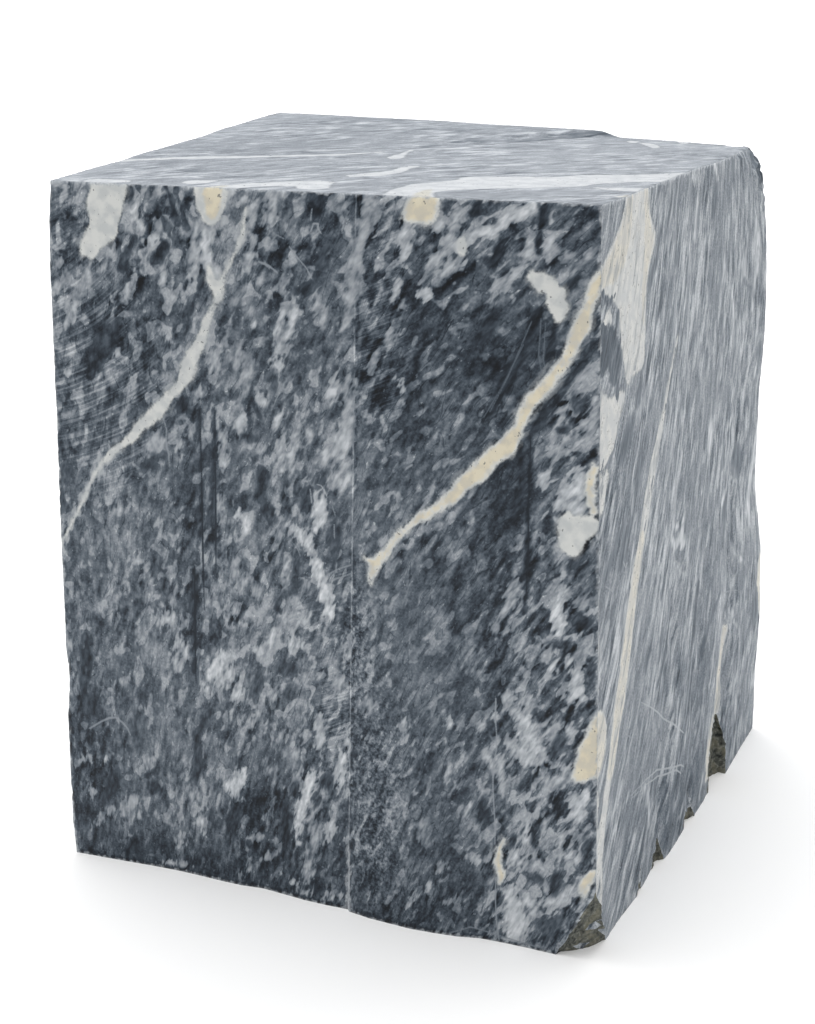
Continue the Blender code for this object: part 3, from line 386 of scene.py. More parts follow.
        (17, 245, 10, 10, 0, 0.8, 0.8), (-180, 466, 18, 24, 0, 0.7, 0.8),
    ],
    "speckleZones": [(42, 90, 24, 90, 0, 1.0, 1.0), (28, 190, 10, 60, 0, 1.0, 1.0)],
    "lobes": 0.45,
    "lobeZones": [
        (-120, 450, 80, 46, 0, 0.9, 0.9), (60, 470, 40, 40, 0, 0.85, 0.9), (120, 465, 50, 40, 0, 0.95, 0.9),
        (176, 370, 22, 44, 0, 0.98, 1.0), (178, 240, 22, 80, 0, 1.0, 1.0), (160, 130, 32, 70, 0, 0.92, 1.0),
        (155, 50, 40, 60, 0, 0.95, 1.0), (-76, 170, 26, 40, 0, 0.85, 0.8), (-20, 190, 60, 70, 0, 0.65, 0.8),
        (-5, 80, 30, 60, 0, 0.75, 0.8), (80, 200, 36, 90, 0, 0.22, 1.0), (90, 60, 34, 60, 0, 0.2, 1.0),
        (-160, 240, 40, 60, 0, 0.3, 0.9), (-180, 60, 26, 60, 0, 0.2, 0.9), (-40, 30, 50, 30, 0, 0.35, 0.8),
        (130, 330, 22, 60, -15, 0.1, 1.0), (140, 400, 20, 40, -25, 0.1, 1.0),
        (80, 400, 36, 50, 0, 0.45, 0.9), (-170, 370, 30, 50, 0, 0.35, 0.9), (8, 320, 22, 40, 0, 0.35, 0.8),
        (70, 310, 40, 30, 0, 0.45, 0.8), (-100, 14, 130, 26, 0, 0.1, 1.0),
        (-150, 110, 60, 60, 0, 0.25, 0.7),
    ],
}

rightMarks = {
    "baseTone": 0.595,
    "creamStrokes": [
        [(-104, 262, 7.5), (-112, 250, 9), (-120, 238, 10), (-130, 218, 12), (-137, 200, 13),
          (-144, 185, 14), (-152, 170, 15), (-160, 156, 13.5), (-167, 142, 11), (-176, 126, 9)],
        [(113, 120, 5), (108, 108, 6.5), (102, 92, 6.5), (100, 76, 7), (97, 60, 8), (92, 48, 6)],
        [(84, 58, 3), (76, 50, 6), (70, 34, 8), (68, 18, 6)], [(-206, 320, 3), (-203, 332, 2)],
    ],
    "creamOutlines": [
        [(-150, 502), (-160, 486), (-176, 474), (-196, 463), (-212, 458), (-212, 448), (-194, 446),
          (-176, 446), (-160, 452), (-146, 462), (-138, 480), (-136, 502)],
        [(-112, 502), (-116, 480), (-112, 456), (-118, 430), (-116, 408), (-108, 404), (-106, 430),
          (-96, 448), (-84, 460), (-96, 472), (-101, 486), (-101, 502)],
        [(-212, 178), (-202, 178), (-190, 172), (-186, 160), (-188, 146), (-194, 134), (-212, 128)],
        [(200, 156), (212, 160), (212, 96), (204, 102), (196, 118), (192, 136)],
    ],
    "whiteStrokes": [
        [(-20, 382, 1.6), (-32, 368, 2.4), (-45, 352, 3), (-58, 334, 4.4), (-70, 318, 6), (-80, 304, 7),
          (-90, 287, 8), (-99, 270, 8), (-106, 260, 6)],
        [(-176, 126, 6), (-184, 114, 6), (-190, 100, 7), (-198, 84, 9), (-205, 68, 9), (-210, 52, 7)],
        [(-196, 68, 2), (-194, 50, 2.4), (-196, 28, 2)],
        [(-208, 262, 1.4), (-206, 248, 2.4), (-208, 236, 1.4), (-206, 222, 3), (-208, 206, 1.6),
          (-206, 192, 3)],
        [(-208, 130, 2), (-205, 114, 3.2), (-207, 98, 2.2), (-205, 84, 3), (-208, 66, 2)],
        [(-205, 330, 6), (-208, 310, 5), (-212, 300, 4)], [(-196, 328, 3), (-188, 330, 2), (-200, 312, 4)],
        [(-198, 424, 3), (-190, 430, 3.4), (-184, 426, 3)],
    ],
    "whiteOutlines": [
        [(-152, 502), (-162, 486), (-178, 474), (-196, 464), (-212, 458), (-212, 446), (-196, 444),
          (-180, 437), (-168, 428), (-166, 414), (-162, 402), (-155, 390), (-150, 376), (-140, 380),
          (-124, 380), (-106, 380), (-105, 400), (-106, 420), (-104, 436), (-92, 450), (-80, 461),
          (-94, 472), (-100, 484), (-100, 502)],
        [(-212, 384), (-196, 384), (-186, 376), (-172, 378), (-160, 376), (-152, 374), (-158, 364),
          (-168, 358), (-172, 350), (-180, 342), (-190, 336), (-200, 334), (-212, 330)],
        [(-134, 241), (-126, 247), (-118, 246), (-112, 240), (-118, 226), (-130, 220)],
    ],
    "lightStrokes": [
        (0.7, [(-4, 398, 1.6), (2, 412, 3), (6, 426, 3.4), (10, 440, 3.4), (12, 446, 1.6)]),
        (0.68, [(24, 444, 4), (28, 452, 4), (32, 468, 3)]),
        (0.71, [(118, 386, 2), (122, 370, 3), (124, 352, 2.4), (128, 338, 2), (130, 318, 1.6),
          (128, 300, 1.2)]), (0.72, [(120, 282, 3), (128, 286, 4), (134, 288, 2)]),
        (0.7, [(106, 226, 3), (114, 230, 5), (122, 236, 5), (127, 246, 4), (132, 262, 3)]),
        (0.72, [(134, 236, 3), (140, 237, 3), (146, 234, 1.6)]),
        (0.72, [(72, 486, 3), (78, 478, 2.6), (77, 466, 1.4)]),
        (0.66, [(-74, 486, 3), (-76, 466, 2), (-78, 440, 1.6)]),
        (0.66, [(-62, 466, 1.2), (-52, 478, 1.4), (-44, 490, 1.6)]),
        (0.66, [(-54, 450, 1.2), (-46, 462, 1.6), (-38, 476, 1.6), (-32, 486, 2)]),
        (0.63, [(-38, 440, 2), (-30, 452, 3), (-26, 462, 2)]),
        (0.68, [(182, 430, 4), (184, 412, 5), (184, 396, 4), (178, 384, 3), (172, 362, 3)]),
        (0.72, [(188, 320, 2.4), (186, 308, 2)]),
        (0.72, [(205, 262, 5), (200, 244, 6), (192, 226, 7), (184, 210, 8), (178, 196, 6), (172, 184, 3)]),
        (0.72, [(210, 240, 5), (208, 218, 7), (206, 196, 6)]),
        (0.67, [(68, 300, 6), (68, 290, 7), (66, 280, 6)]), (0.67, [(55, 362, 2.4), (58, 356, 2)]),
        (0.67, [(-24, 260, 2), (-18, 264, 1.6), (-12, 260, 1.4)]),
        (0.74, [(-28, 238, 2.4), (-22, 232, 4), (-14, 230, 4.4), (-6, 236, 5), (-2, 228, 4)]),
        (0.7, [(-24, 246, 1.4), (-12, 242, 2), (-2, 244, 2)]),
        (0.7, [(-20, 218, 1.6), (-10, 212, 2.4), (-2, 204, 3)]),
        (0.68, [(-36, 174, 1.4), (-30, 176, 1.8), (-24, 172, 1.2)]),
        (0.66, [(138, 176, 1), (148, 170, 1.4), (156, 162, 1.2)]),
        (0.66, [(120, 142, 1.2), (128, 136, 1.6), (134, 124, 1.4), (136, 116, 1)]),
        (0.66, [(36, 66, 2), (42, 72, 2.4), (52, 80, 1.6)]), (0.66, [(22, 50, 1), (28, 54, 1.4)]),
        (0.62, [(-16, 16, 2), (10, 22, 4), (12, 14, 3)]), (0.62, [(42, 10, 3), (50, 14, 5), (56, 20, 4)]),
        (0.66, [(-78, 40, 4), (-80, 60, 4), (-92, 78, 3)]),
    ],
    "lightFlecks": [
        (-132, 292, 10, 6, 60, 0.56), (-118, 282, 10, 1.6, 80, 0.68), (-110, 356, 8, 2.6, 30, 0.64),
        (-124, 352, 8, 3.4, 40, 0.64), (-160, 402, 4, 2, 60, 0.5), (48, 252, 3.4, 2, 30, 0.68),
        (98, 244, 2.4, 2, 0, 0.68), (186, 276, 5, 1.4, -30, 0.68), (150, 400, 14, 9, 70, 0.63),
        (96, 410, 16, 6, 80, 0.64), (96, 358, 6, 4, 60, 0.66), (90, 330, 16, 6, 80, 0.63),
        (-12, 290, 3, 2, 60, 0.67), (-10, 320, 4, 2, 60, 0.64), (-150, 226, 10, 5, 60, 0.62),
        (-178, 252, 6, 2, -20, 0.62), (-196, 220, 8, 4, 40, 0.6),
    ],
    "darkStrokes": [
        (0.46, [(-58, 332, 1.4), (-46, 346, 1.4), (-34, 362, 1.2), (-26, 374, 1)]),
        (0.46, [(-90, 346, 2), (-82, 356, 2.2), (-72, 364, 1.6)]),
        (0.45, [(-76, 404, 1.6), (-66, 416, 2), (-60, 426, 1.2)]),
        (0.46, [(-62, 454, 1.4), (-54, 466, 1.6), (-46, 474, 1.2)]),
        (0.47, [(-48, 444, 2), (-42, 450, 2.4), (-38, 456, 1.4)]),
        (0.46, [(-96, 432, 4), (-80, 444, 4), (-70, 462, 3)]),
        (0.48, [(0, 452, 1.4), (8, 464, 1.6), (18, 480, 1.4)]),
        (0.46, [(64, 452, 3), (72, 462, 4), (76, 472, 2.4)]), (0.47, [(126, 468, 3), (128, 480, 3.4)]),
        (0.5, [(128, 362, 1.4), (127, 344, 1.6), (122, 326, 1.4)]),
        (0.49, [(150, 390, 1.4), (160, 384, 1.6), (170, 380, 1.2)]),
        (0.42, [(30, 150, 3), (31, 162, 2), (36, 172, 2), (40, 184, 2)]),
        (0.46, [(46, 120, 2), (52, 130, 3), (60, 140, 2.4)]),
        (0.47, [(64, 142, 1.4), (80, 150, 1.6), (96, 158, 1.4)]),
        (0.47, [(-60, 158, 2), (-54, 170, 3), (-52, 178, 2)]),
        (0.46, [(-92, 164, 2), (-84, 174, 3), (-76, 186, 2)]),
        (0.44, [(-62, 142, 3), (-46, 152, 3.4), (-38, 164, 2.4)]), (0.45, [(-34, 190, 2), (-32, 200, 3)]),
        (0.44, [(-34, 22, 3), (-30, 36, 3), (-26, 44, 2)]), (0.46, [(-56, 206, 2), (-50, 214, 2.4)]),
        (0.47, [(-192, 264, 3), (-178, 272, 3.4), (-160, 284, 3), (-146, 292, 2.4)]),
        (0.4, [(-212, 448, 4), (-200, 444, 2), (-190, 436, 1.6), (-176, 440, 1.4)]),
        (0.49, [(-210, 334, 1), (-196, 337, 1.6), (-182, 338, 2)]),
    ],
    "darkFlecks": [
        (-127, 468, 14, 7, 120, 0.44), (-114, 474, 7, 4, 70, 0.46), (-130, 455, 5, 2, 60, 0.5),
        (-190, 408, 18, 11, 30, 0.36), (-176, 398, 14, 12, 90, 0.4), (-200, 420, 8, 6, 0, 0.38),
        (-206, 402, 8, 8, 0, 0.36), (-172, 424, 6, 4, 60, 0.42), (-170, 380, 8, 3, 90, 0.44),
        (-120, 365, 12, 7, 30, 0.46), (-150, 342, 22, 9, 30, 0.47), (-115, 310, 16, 7, 60, 0.48),
        (-150, 272, 20, 8, 40, 0.46), (-197, 340, 5, 2, 0, 0.44), (-148, 187, 4, 2.6, 40, 0.6),
        (-166, 146, 4, 3, 60, 0.66), (-95, 270, 5, 1.6, 60, 0.5), (-84, 290, 5, 1.5, 60, 0.52),
        (-180, 370, 3, 2, 0, 0.46), (-170, 366, 3, 2, 60, 0.46), (-122, 428, 4, 1.6, 20, 0.46),
        (-152, 458, 6, 1.2, -20, 0.6), (-132, 384, 4, 1.4, 0, 0.62), (-140, 487, 2, 1.2, 0, 0.6),
        (200, 468, 12, 5, 90, 0.48), (206, 440, 8, 4, 90, 0.48), (192, 326, 8, 5, 90, 0.5),
        (116, 212, 14, 11, 60, 0.51), (150, 248, 12, 14, 0, 0.52), (-34, 232, 5, 3, 60, 0.5),
        (-26, 436, 6, 4, 60, 0.5), (-48, 394, 6, 3, 80, 0.5), (20, 212, 8, 5, 60, 0.52),
        (-105, 130, 8, 3, 100, 0.52), (190, 115, 16, 10, 70, 0.5), (104, 260, 8, 6, 60, 0.53),
        (-108, 6, 3, 3, 90, 0.36), (12, 112, 8, 5, 60, 0.49), (100, 280, 6, 3, 60, 0.54),
    ],
    "scratchAndStepShadeStrokes": [
        (0.76, [(-102, 144, 0.4), (-84, 134, 0.6), (-60, 120, 0.8), (-42, 108, 0.7), (-20, 93, 0.9),
          (0, 80, 0.6)]),
        (0.74, [(-124, 83, 0.4), (-90, 81, 0.6), (-60, 75, 0.8), (-30, 65, 0.8), (-8, 58, 0.8),
          (2, 52, 0.6)]),
        (0.74, [(-120, 80, 0.4), (-90, 77, 0.6), (-50, 67, 0.8), (-20, 59, 0.8), (-6, 50, 0.7)]),
        (0.68, [(-154, 262, 0.8), (-148, 256, 0.7), (-142, 247, 0.6)]),
        (0.66, [(-190, 257, 0.6), (-176, 249, 0.8)]),
        (0.68, [(-20, 220, 1), (-12, 216, 0.8), (-4, 205, 0.8)]),
        (0.64, [(-138, 136, 0.6), (-120, 124, 0.7)]), (0.64, [(-160, 48, 0.5), (-142, 38, 0.6)]),
        (0.68, [(104, 154, 0.6), (120, 150, 0.6), (138, 146, 0.5)]),
    ],
    "zones": [
        (-160, 300, 44, 46, 0, 0.51, 0.9), (-110, 340, 26, 34, 0, 0.54, 0.7),
        (-180, 220, 30, 30, 0, 0.57, 0.6), (20, 110, 60, 40, 0, 0.52, 0.9), (-20, 28, 80, 34, 0, 0.46, 1.0),
        (-120, 50, 50, 46, 0, 0.54, 0.8), (30, 165, 36, 30, 0, 0.53, 0.7), (110, 212, 16, 26, 0, 0.52, 0.7),
        (150, 245, 16, 18, 0, 0.52, 0.6), (190, 115, 20, 20, 0, 0.52, 0.7),
        (-40, 470, 40, 20, 0, 0.55, 0.8), (50, 470, 32, 22, 0, 0.53, 0.9), (-70, 400, 30, 36, 0, 0.55, 0.6),
        (150, 380, 40, 60, 0, 0.62, 0.7), (100, 470, 40, 16, 0, 0.57, 0.6),
        (-60, 240, 40, 60, 0, 0.62, 0.6), (-200, 300, 14, 30, 0, 0.48, 0.8),
        (150, 30, 50, 30, 0, 0.53, 0.6), (190, 190, 24, 46, 20, 0.64, 0.7), (120, 25, 26, 20, 0, 0.42, 0.6),
    ],
    "speckleZones": [(-180, 405, 26, 40, 0, 0.8, 1.0), (-150, 345, 40, 26, 0, 0.7, 1.0)],
    "lobes": 0.5,
    "lobeZones": [(-130, 420, 60, 60, 0, 0.9, 1.0), (-170, 250, 30, 120, 0, 0.7, 1.0)],
}

topMarks = {
    "baseTone": 0.69,
    "creamStrokes": [
        [(76, -210, 7), (72, -196, 7), (68, -182, 6), (66, -168, 4)], [(186, -160, 3), (190, -150, 4)],
        [(-70, -206, 8), (-66, -190, 5)],
    ],
    "whiteStrokes": [
        [(-198, -104, 3.4), (-178, -88, 4.2), (-160, -73, 5.2), (-146, -66, 6), (-130, -59, 5.4),
          (-116, -50, 4.6), (-100, -39, 4), (-84, -29, 3.6), (-66, -18, 3.2), (-52, -2, 2.8), (-42, 12, 2)],
        [(-26, 34, 1.6), (-24, 16, 2), (-22, 0, 4), (-20, -12, 6), (-19, -18, 3)],
        [(-6, -116, 6), (2, -106, 8), (8, -94, 7), (10, -78, 5), (8, -66, 4), (12, -54, 3)],
        [(-158, -190, 9), (-140, -188, 5)], [(-92, -178, 9), (-84, -172, 4)],
        [(-60, -194, 7), (-50, -180, 9), (-30, -168, 12), (-16, -160, 12), (-8, -180, 10)],
        [(100, 180, 5), (102, 172, 3)], [(112, 172, 4), (118, 164, 5), (124, 154, 4), (126, 146, 2)],
        [(134, 206, 5), (136, 194, 4)], [(186, -118, 10), (172, -120, 8), (160, -118, 3)],
    ],
    "whiteOutlines": [
        [(44, -158), (46, -140), (58, -126), (66, -112), (60, -100), (68, -92), (84, -84), (100, -78),
          (120, -70), (126, -58), (140, -46), (158, -38), (170, -26), (184, -8), (192, 8), (192, -66),
          (176, -72), (164, -84), (152, -100), (150, -114), (134, -124), (118, -138), (100, -148),
          (86, -158), (76, -168), (70, -190), (62, -204), (48, -204), (44, -180)],
    ],
    "lightStrokes": [
        (0.77, [(-192, -100, 6), (-176, -90, 4)]),
        (0.76, [(-116, -50, 4), (-100, -40, 5), (-84, -28, 5), (-70, -20, 4.4), (-56, -6, 3),
          (-44, 8, 2.4)]),
        (0.76, [(-44, 8, 2.4), (-30, 32, 3), (-18, 46, 4), (-4, 58, 4.4), (4, 72, 6), (10, 86, 4)]),
        (0.76, [(12, -54, 3), (22, -42, 5), (30, -28, 4), (30, -16, 2)]),
        (0.76, [(60, -26, 5), (70, -14, 6), (78, 4, 3)]), (0.77, [(-172, -128, 4), (-160, -142, 3)]),
        (0.76, [(-66, 116, 2.4), (-68, 106, 2.4)]), (0.75, [(-190, 20, 4), (-182, 34, 4), (-180, 46, 3)]),
        (0.74, [(36, 40, 2), (34, 10, 1.4), (38, -10, 1.2)]), (0.74, [(-90, -134, 3), (-76, -124, 2)]),
        (0.73, [(110, 60, 2), (124, 44, 2)]),
        (0.76, [(-130, -156, 3), (-112, -150, 2.4), (-100, -160, 2.6)]),
    ],
    "lightFlecks": [
        (-176, -196, 12, 6, 0, 0.76), (0, -150, 14, 6, 60, 0.74), (4, -190, 16, 6, 30, 0.78),
        (120, 90, 40, 5, 60, 0.72), (150, 60, 30, 5, 60, 0.72), (-170, 90, 24, 5, 70, 0.72),
    ],
    "darkStrokes": [
        # The first three strokes follow the ledge's step: painted shade on the step.
        (0.52, [(80, 206, 4), (66, 198, 4), (56, 188, 3), (46, 170, 2.4)]),
        (0.48, [(46, 170, 1.6), (40, 152, 2), (34, 140, 2.6), (26, 128, 3), (20, 118, 1.8)]),
        (0.58, [(-6, 106, 5), (8, 112, 5), (20, 122, 4), (34, 150, 3), (48, 176, 3)]),
        (0.64, [(80, -150, 3), (74, -132, 2)]), (0.66, [(150, -80, 3), (148, -96, 3)]),
    ],
    "darkFlecks": [
        (-24, 22, 5, 1.6, 60, 0.63), (-66, -32, 6, 2, 60, 0.64), (140, -85, 7, 4, 60, 0.72),
        (150, -150, 26, 12, 20, 0.67), (110, -180, 30, 10, 0, 0.66),
    ],
    "scratchAndStepShadeStrokes": [
        # This line follows the ledge's step: a thin painted shadow along the step.
        (0.4, [(78, 210, 1.1), (68, 197, 1.3), (58, 181, 1.1), (46, 163, 1.2), (38, 147, 1.0),
          (31, 133, 1.2), (25, 121, 0.8), (16, 102, 0.6), (8, 84, 0.4)]),
    ],
    "zones": [
        (-150, 60, 100, 170, 0, 0.66, 0.6), (110, 0, 90, 220, 0, 0.735, 0.6),
        (-140, -10, 40, 60, 0, 0.65, 0.9), (-100, 90, 60, 50, 0, 0.665, 0.7),
        (-190, 100, 22, 120, 0, 0.73, 0.8), (-20, 20, 60, 40, 0, 0.7, 0.5), (120, 60, 70, 80, 0, 0.72, 0.7),
        (0, 140, 40, 60, 0, 0.67, 0.6), (-110, -130, 60, 30, 0, 0.68, 0.6),
        (-60, -196, 150, 12, 0, 0.76, 0.9), (120, -180, 60, 24, 0, 0.66, 0.8),
        (60, 190, 16, 16, 45, 0.66, 0.6), (-194, -160, 14, 60, 0, 0.75, 0.8),
        (186, 120, 14, 90, 0, 0.75, 0.7),
    ],
    "lobes": 0.5,
}

leftMarks = {
    "baseTone": 0.58,
    "creamStrokes": [
        [(146, 484, 2), (136, 456, 3.4), (126, 432, 2.4), (116, 404, 4.4), (100, 376, 3.6), (90, 348, 6),
          (74, 320, 8.4), (62, 292, 5.6), (54, 268, 8), (46, 240, 4.6), (34, 212, 3.4), (28, 184, 2),
          (18, 152, 1.2)], [(74, 316, 3), (56, 310, 2.4), (38, 296, 1.6), (24, 276, 1)],
    ],
    "whiteStrokes": [
        [(-204, 232, 3), (-186, 216, 4), (-162, 200, 4.6), (-134, 176, 6), (-104, 158, 6), (-76, 128, 4.4),
          (-52, 104, 3), (-30, 70, 3.6), (-14, 44, 2.4), (4, 20, 3.4), (14, -8, 3)],
        [(-112, 164, 3), (-88, 168, 2.2), (-64, 178, 2.4), (-42, 196, 1.2)],
        [(210, 158, 3), (192, 136, 4), (176, 108, 2.4), (168, 78, 3), (156, 50, 1.2)],
        [(196, 372, 1.4), (180, 338, 2.4), (168, 306, 1.6), (160, 270, 1)],
        [(-198, -10, 3), (-186, 24, 4), (-176, 50, 2), (-166, 78, 1)],
    ],
    "whiteOutlines": [
        [(112, 502), (170, 502), (163, 486), (158, 478), (156, 462), (147, 452), (142, 440), (134, 436),
          (133, 447), (125, 455), (128, 466), (119, 472), (121, 484), (113, 490)],
    ],
    "lightStrokes": [
        (0.68, [(-150, 440, 3), (-130, 400, 4), (-118, 366, 2)]),
        (0.68, [(30, 470, 3), (22, 430, 5), (16, 400, 3)]),
        (0.7, [(150, 240, 4), (160, 200, 6), (164, 160, 4)]),
        (0.66, [(-60, 300, 3), (-70, 262, 4), (-74, 236, 2)]),
        (0.66, [(90, 90, 4), (80, 52, 5), (72, 30, 3)]),
    ],
    "lightFlecks": [
        (-170, 330, 14, 5, 75, 0.66), (-20, 360, 16, 6, 80, 0.65), (180, 330, 16, 6, 75, 0.66),
        (0, 180, 20, 7, 70, 0.65), (-150, 90, 18, 6, 75, 0.64), (110, 300, 12, 5, 70, 0.66),
    ],
    "darkStrokes": [
        (0.46, [(-110, 480, 2), (-120, 440, 3), (-132, 404, 2)]),
        (0.45, [(70, 420, 2), (62, 380, 3), (50, 350, 2)]),
        (0.44, [(-30, 130, 3), (-38, 90, 4), (-44, 60, 2)]),
        (0.46, [(190, 130, 3), (184, 90, 4), (176, 50, 3)]),
    ],
    "darkFlecks": [
        (-170, 400, 14, 6, 70, 0.48), (-10, 260, 16, 5, 75, 0.48), (130, 130, 18, 7, 70, 0.47),
        (-100, 40, 16, 8, 60, 0.45), (60, 480, 14, 5, 60, 0.48),
    ],
    "scratchAndStepShadeStrokes": [(0.7, [(-120, 260, 0.7), (-80, 236, 0.8), (-40, 206, 0.7)])],
    "zones": [
        (-120, 60, 60, 50, 0, 0.5, 0.8), (80, 120, 60, 60, 0, 0.53, 0.7), (0, 420, 70, 60, 0, 0.6, 0.6),
        (-160, 300, 40, 60, 0, 0.55, 0.6),
    ],
    "lobes": 0.5,
}

backMarks = {
    "baseTone": 0.57,
    "creamStrokes": [
        [(-210, 152, 3), (-188, 166, 4), (-168, 178, 6), (-148, 200, 4.6), (-126, 214, 7.4),
          (-104, 234, 5), (-88, 248, 6), (-70, 270, 9), (-54, 288, 5), (-36, 302, 7), (-14, 324, 3.6),
          (8, 346, 4.4), (26, 372, 2.4), (40, 398, 3), (52, 426, 1.8), (60, 452, 1)],
    ],
    "creamOutlines": [
        [(146, 502), (194, 502), (186, 488), (178, 480), (177, 466), (166, 458), (160, 446), (153, 456),
          (156, 468), (147, 474), (151, 488)],
    ],
    "whiteStrokes": [
        [(42, -8, 3.4), (48, 30, 3), (60, 66, 4.6), (66, 94, 3), (82, 122, 5.6), (92, 150, 3.4),
          (108, 174, 6), (122, 196, 3), (132, 222, 3.6), (146, 250, 1.8), (160, 280, 1)],
        [(-92, 252, 4), (-62, 252, 3), (-36, 242, 4.6), (-12, 224, 2.4), (2, 198, 3.4), (16, 168, 1.8),
          (34, 140, 1)], [(96, 160, 3), (112, 150, 2), (130, 146, 1.2)],
    ],
    "whiteOutlines": [
        [(-172, -8), (-166, 10), (-154, 18), (-156, 34), (-146, 44), (-147, 58), (-137, 66), (-130, 54),
          (-119, 48), (-124, 34), (-114, 22), (-118, 8), (-106, -8)],
    ],
    "lightStrokes": [
        (0.66, [(-150, 430, 4), (-140, 470, 5), (-136, 502, 5)]),
        (0.66, [(90, 300, 4), (100, 340, 6), (106, 372, 3)]),
        (0.64, [(-90, 90, 3), (-80, 130, 5), (-74, 160, 3)]),
        (0.66, [(170, 240, 4), (180, 280, 5), (184, 320, 3)]),
    ],
    "lightFlecks": [
        (-20, 420, 18, 7, 70, 0.64), (40, 60, 16, 6, 65, 0.62), (-180, 320, 16, 6, 75, 0.64),
        (140, 90, 14, 6, 60, 0.62), (10, 150, 14, 6, 70, 0.62),
    ],
    "darkStrokes": [
        (0.44, [(-100, 330, 3), (-90, 380, 4), (-84, 430, 3)]),
        (0.42, [(20, 260, 3), (34, 300, 4), (44, 330, 2)]),
        (0.42, [(170, 60, 4), (176, 110, 5), (180, 150, 3)]),
    ],
    "darkFlecks": [
        (-160, 240, 16, 8, 70, 0.44), (70, 440, 18, 8, 60, 0.45), (-40, 50, 18, 9, 60, 0.42),
        (130, 400, 14, 6, 75, 0.46),
    ],
    "scratchAndStepShadeStrokes": [(0.68, [(-20, 300, 0.7), (20, 280, 0.8), (70, 250, 0.7)])],
    "zones": [
        (-60, 60, 90, 50, 0, 0.48, 0.8), (120, 440, 60, 50, 0, 0.52, 0.7),
        (-140, 260, 50, 70, 0, 0.52, 0.6),
    ],
    "lobes": 0.5,
}

faceSheets = {
    "front": {"axes": (0, 2), "marks": frontMarks, "spacing": 3.7, "coarse": 1.0},
    "right": {"axes": (1, 2), "marks": rightMarks, "spacing": 4.1, "coarse": 1.0},
    "top": {"axes": (0, 1), "marks": topMarks, "spacing": 4.6, "coarse": 1.0},
    "left": {"axes": (1, 2), "marks": leftMarks, "spacing": 7.0, "coarse": 1.6},
    "back": {"axes": (0, 2), "marks": backMarks, "spacing": 7.0, "coarse": 1.6},
}


blockShape = {
    "edgeSpacing": 1.7,        # mm between points along the block's edges
    "edgeGrowth": 0.6,         # mm wider for each mm away from an edge
    "brokenSpacing": 1.7,      # mm in the broken corners and hollows
    "finestSpacing": 1.12,     # mm at scratches
    "narrowMark": 2.4,         # mm, half width of the marks that draw points closer
    "strokeSpacing": 1.15,     # spacing on such a stroke, in half widths
    "fleckSpacing": 1.1,
    "markGrowth": 0.78,        # mm wider for each mm away from such a mark
    "tooLong": 1.36,           # an edge this many times too long is cut in two
    "passes": 6,
    "edgeChip": 1.5,           # mm, deepest chip along an edge
    "edgeRound": 0.28,         # mm that every edge is worn down
    "chipReach": 3.2,          # mm that a chip reaches in from its edge
    "chipElsewhere": 0.55,     # share of the chips away from the lower right edge
    "chipGrain": (7.0, 3.1),
    "polishRelief": 0.05,      # mm, slow waves of the front
    "brokenRelief": 1.25,
    "brokenGrain": (4.2, 1.9),        # mm, sizes of coarse and fine grain
    "cornerPlace": (206, 206, 470),   # the knocked top corner at the back
    "cornerRelief": 5.0,
    "cornerReach": 46.0,
    "cornerGrain": (11.0, 4.6),
    "sharpAngle": 38,          # degrees, softer folds are shaded smooth
}
kindNames = ["front", "right", "top", "left", "back", "broken", "base"]
brokenCorner = {"x": 0.165, "y": -0.165, "z": 0.056}     # everything beyond it, at the foot
brokenHollows = [((0.2030, -0.102, 0.001), (0.004, 0.006, 0.010)),    # middle and half sizes
                 ((0.2060, -0.058, 0.002), (0.009, 0.009, 0.020)),
                 ((0.2090, 0.016, 0.000), (0.007, 0.012, 0.014)),
                 ((0.2140, 0.095, 0.010), (0.015, 0.018, 0.050))]
farSpacing = 99.0     # mm, where no mark asks for close points


def kindOfFace(centre, normal):
    if centre.z < 0.0015 and normal.z < -0.7:
        return "base"
    beyond = centre.x > brokenCorner["x"] and centre.y < brokenCorner["y"] and centre.z < brokenCorner["z"]
    if beyond and normal.z < -0.15:
        return "broken"
    for middle, radii in brokenHollows:
        away = centre - Vector(middle)
        far = Vector((away.x / radii[0], away.y / radii[1], away.z / radii[2])).length
        if far < 1.45 and away.length > 1e-6 and normal.dot(away.normalized()) < -0.3:
            return "broken"
    sizes = {"right": normal.x, "left": -normal.x, "back": normal.y, "front": -normal.y, "top": normal.z}
    return max(sizes, key=sizes.get)


def spacingBeside(gap, half, share, finest):
    # close on a narrow mark, growing with the distance from it
    return np.maximum(finest, share * half) + blockShape["markGrowth"] * np.maximum(gap, 0.0)


def markTarget(points, marks, finest):
    # how close points should lie for the narrow marks of one face, mm
    best = np.full(len(points), farSpacing)
    strokes = marks["creamStrokes"] + marks["whiteStrokes"]
    for name in ("light", "dark", "scratchAndStepShade"):
        strokes = strokes + [stroke for tone, stroke in marks[name + "Strokes"]]
    for stroke in strokes:
        for start, end in zip(stroke[:-1], stroke[1:]):
            if min(start[2], end[2]) <= blockShape["narrowMark"]:
                share, gap = segmentGap(points, start, end)
                half = start[2] + (end[2] - start[2]) * share
                wanted = spacingBeside(gap - half, half, blockShape["strokeSpacing"], finest)
                best = np.minimum(best, wanted)
    for fleck in marks["lightFlecks"] + marks["darkFlecks"]:
        if fleck[3] < blockShape["narrowMark"]:
            gap = -fleckField(points, fleck)
            best = np.minimum(best, spacingBeside(gap, fleck[3], blockShape["fleckSpacing"], finest))
    return best


def boundaryPoints(mesh, kindLayer, step=0.0015):
    # points along every edge where two kinds of face meet
    found = []
    for edge in mesh.edges:
        kinds = {face[kindLayer] for face in edge.link_faces}
        if len(kinds) > 1:
            a, b = edge.verts[0].co, edge.verts[1].co
            count = max(int((b - a).length / step), 1)
            found += [a.lerp(b, (index + 0.5) / count) for index in range(count)]
    return found


def treeOf(points):
    tree = KDTree(len(points))
    for index, point in enumerate(points):
        tree.insert(point, index)
    tree.balance()
    return tree


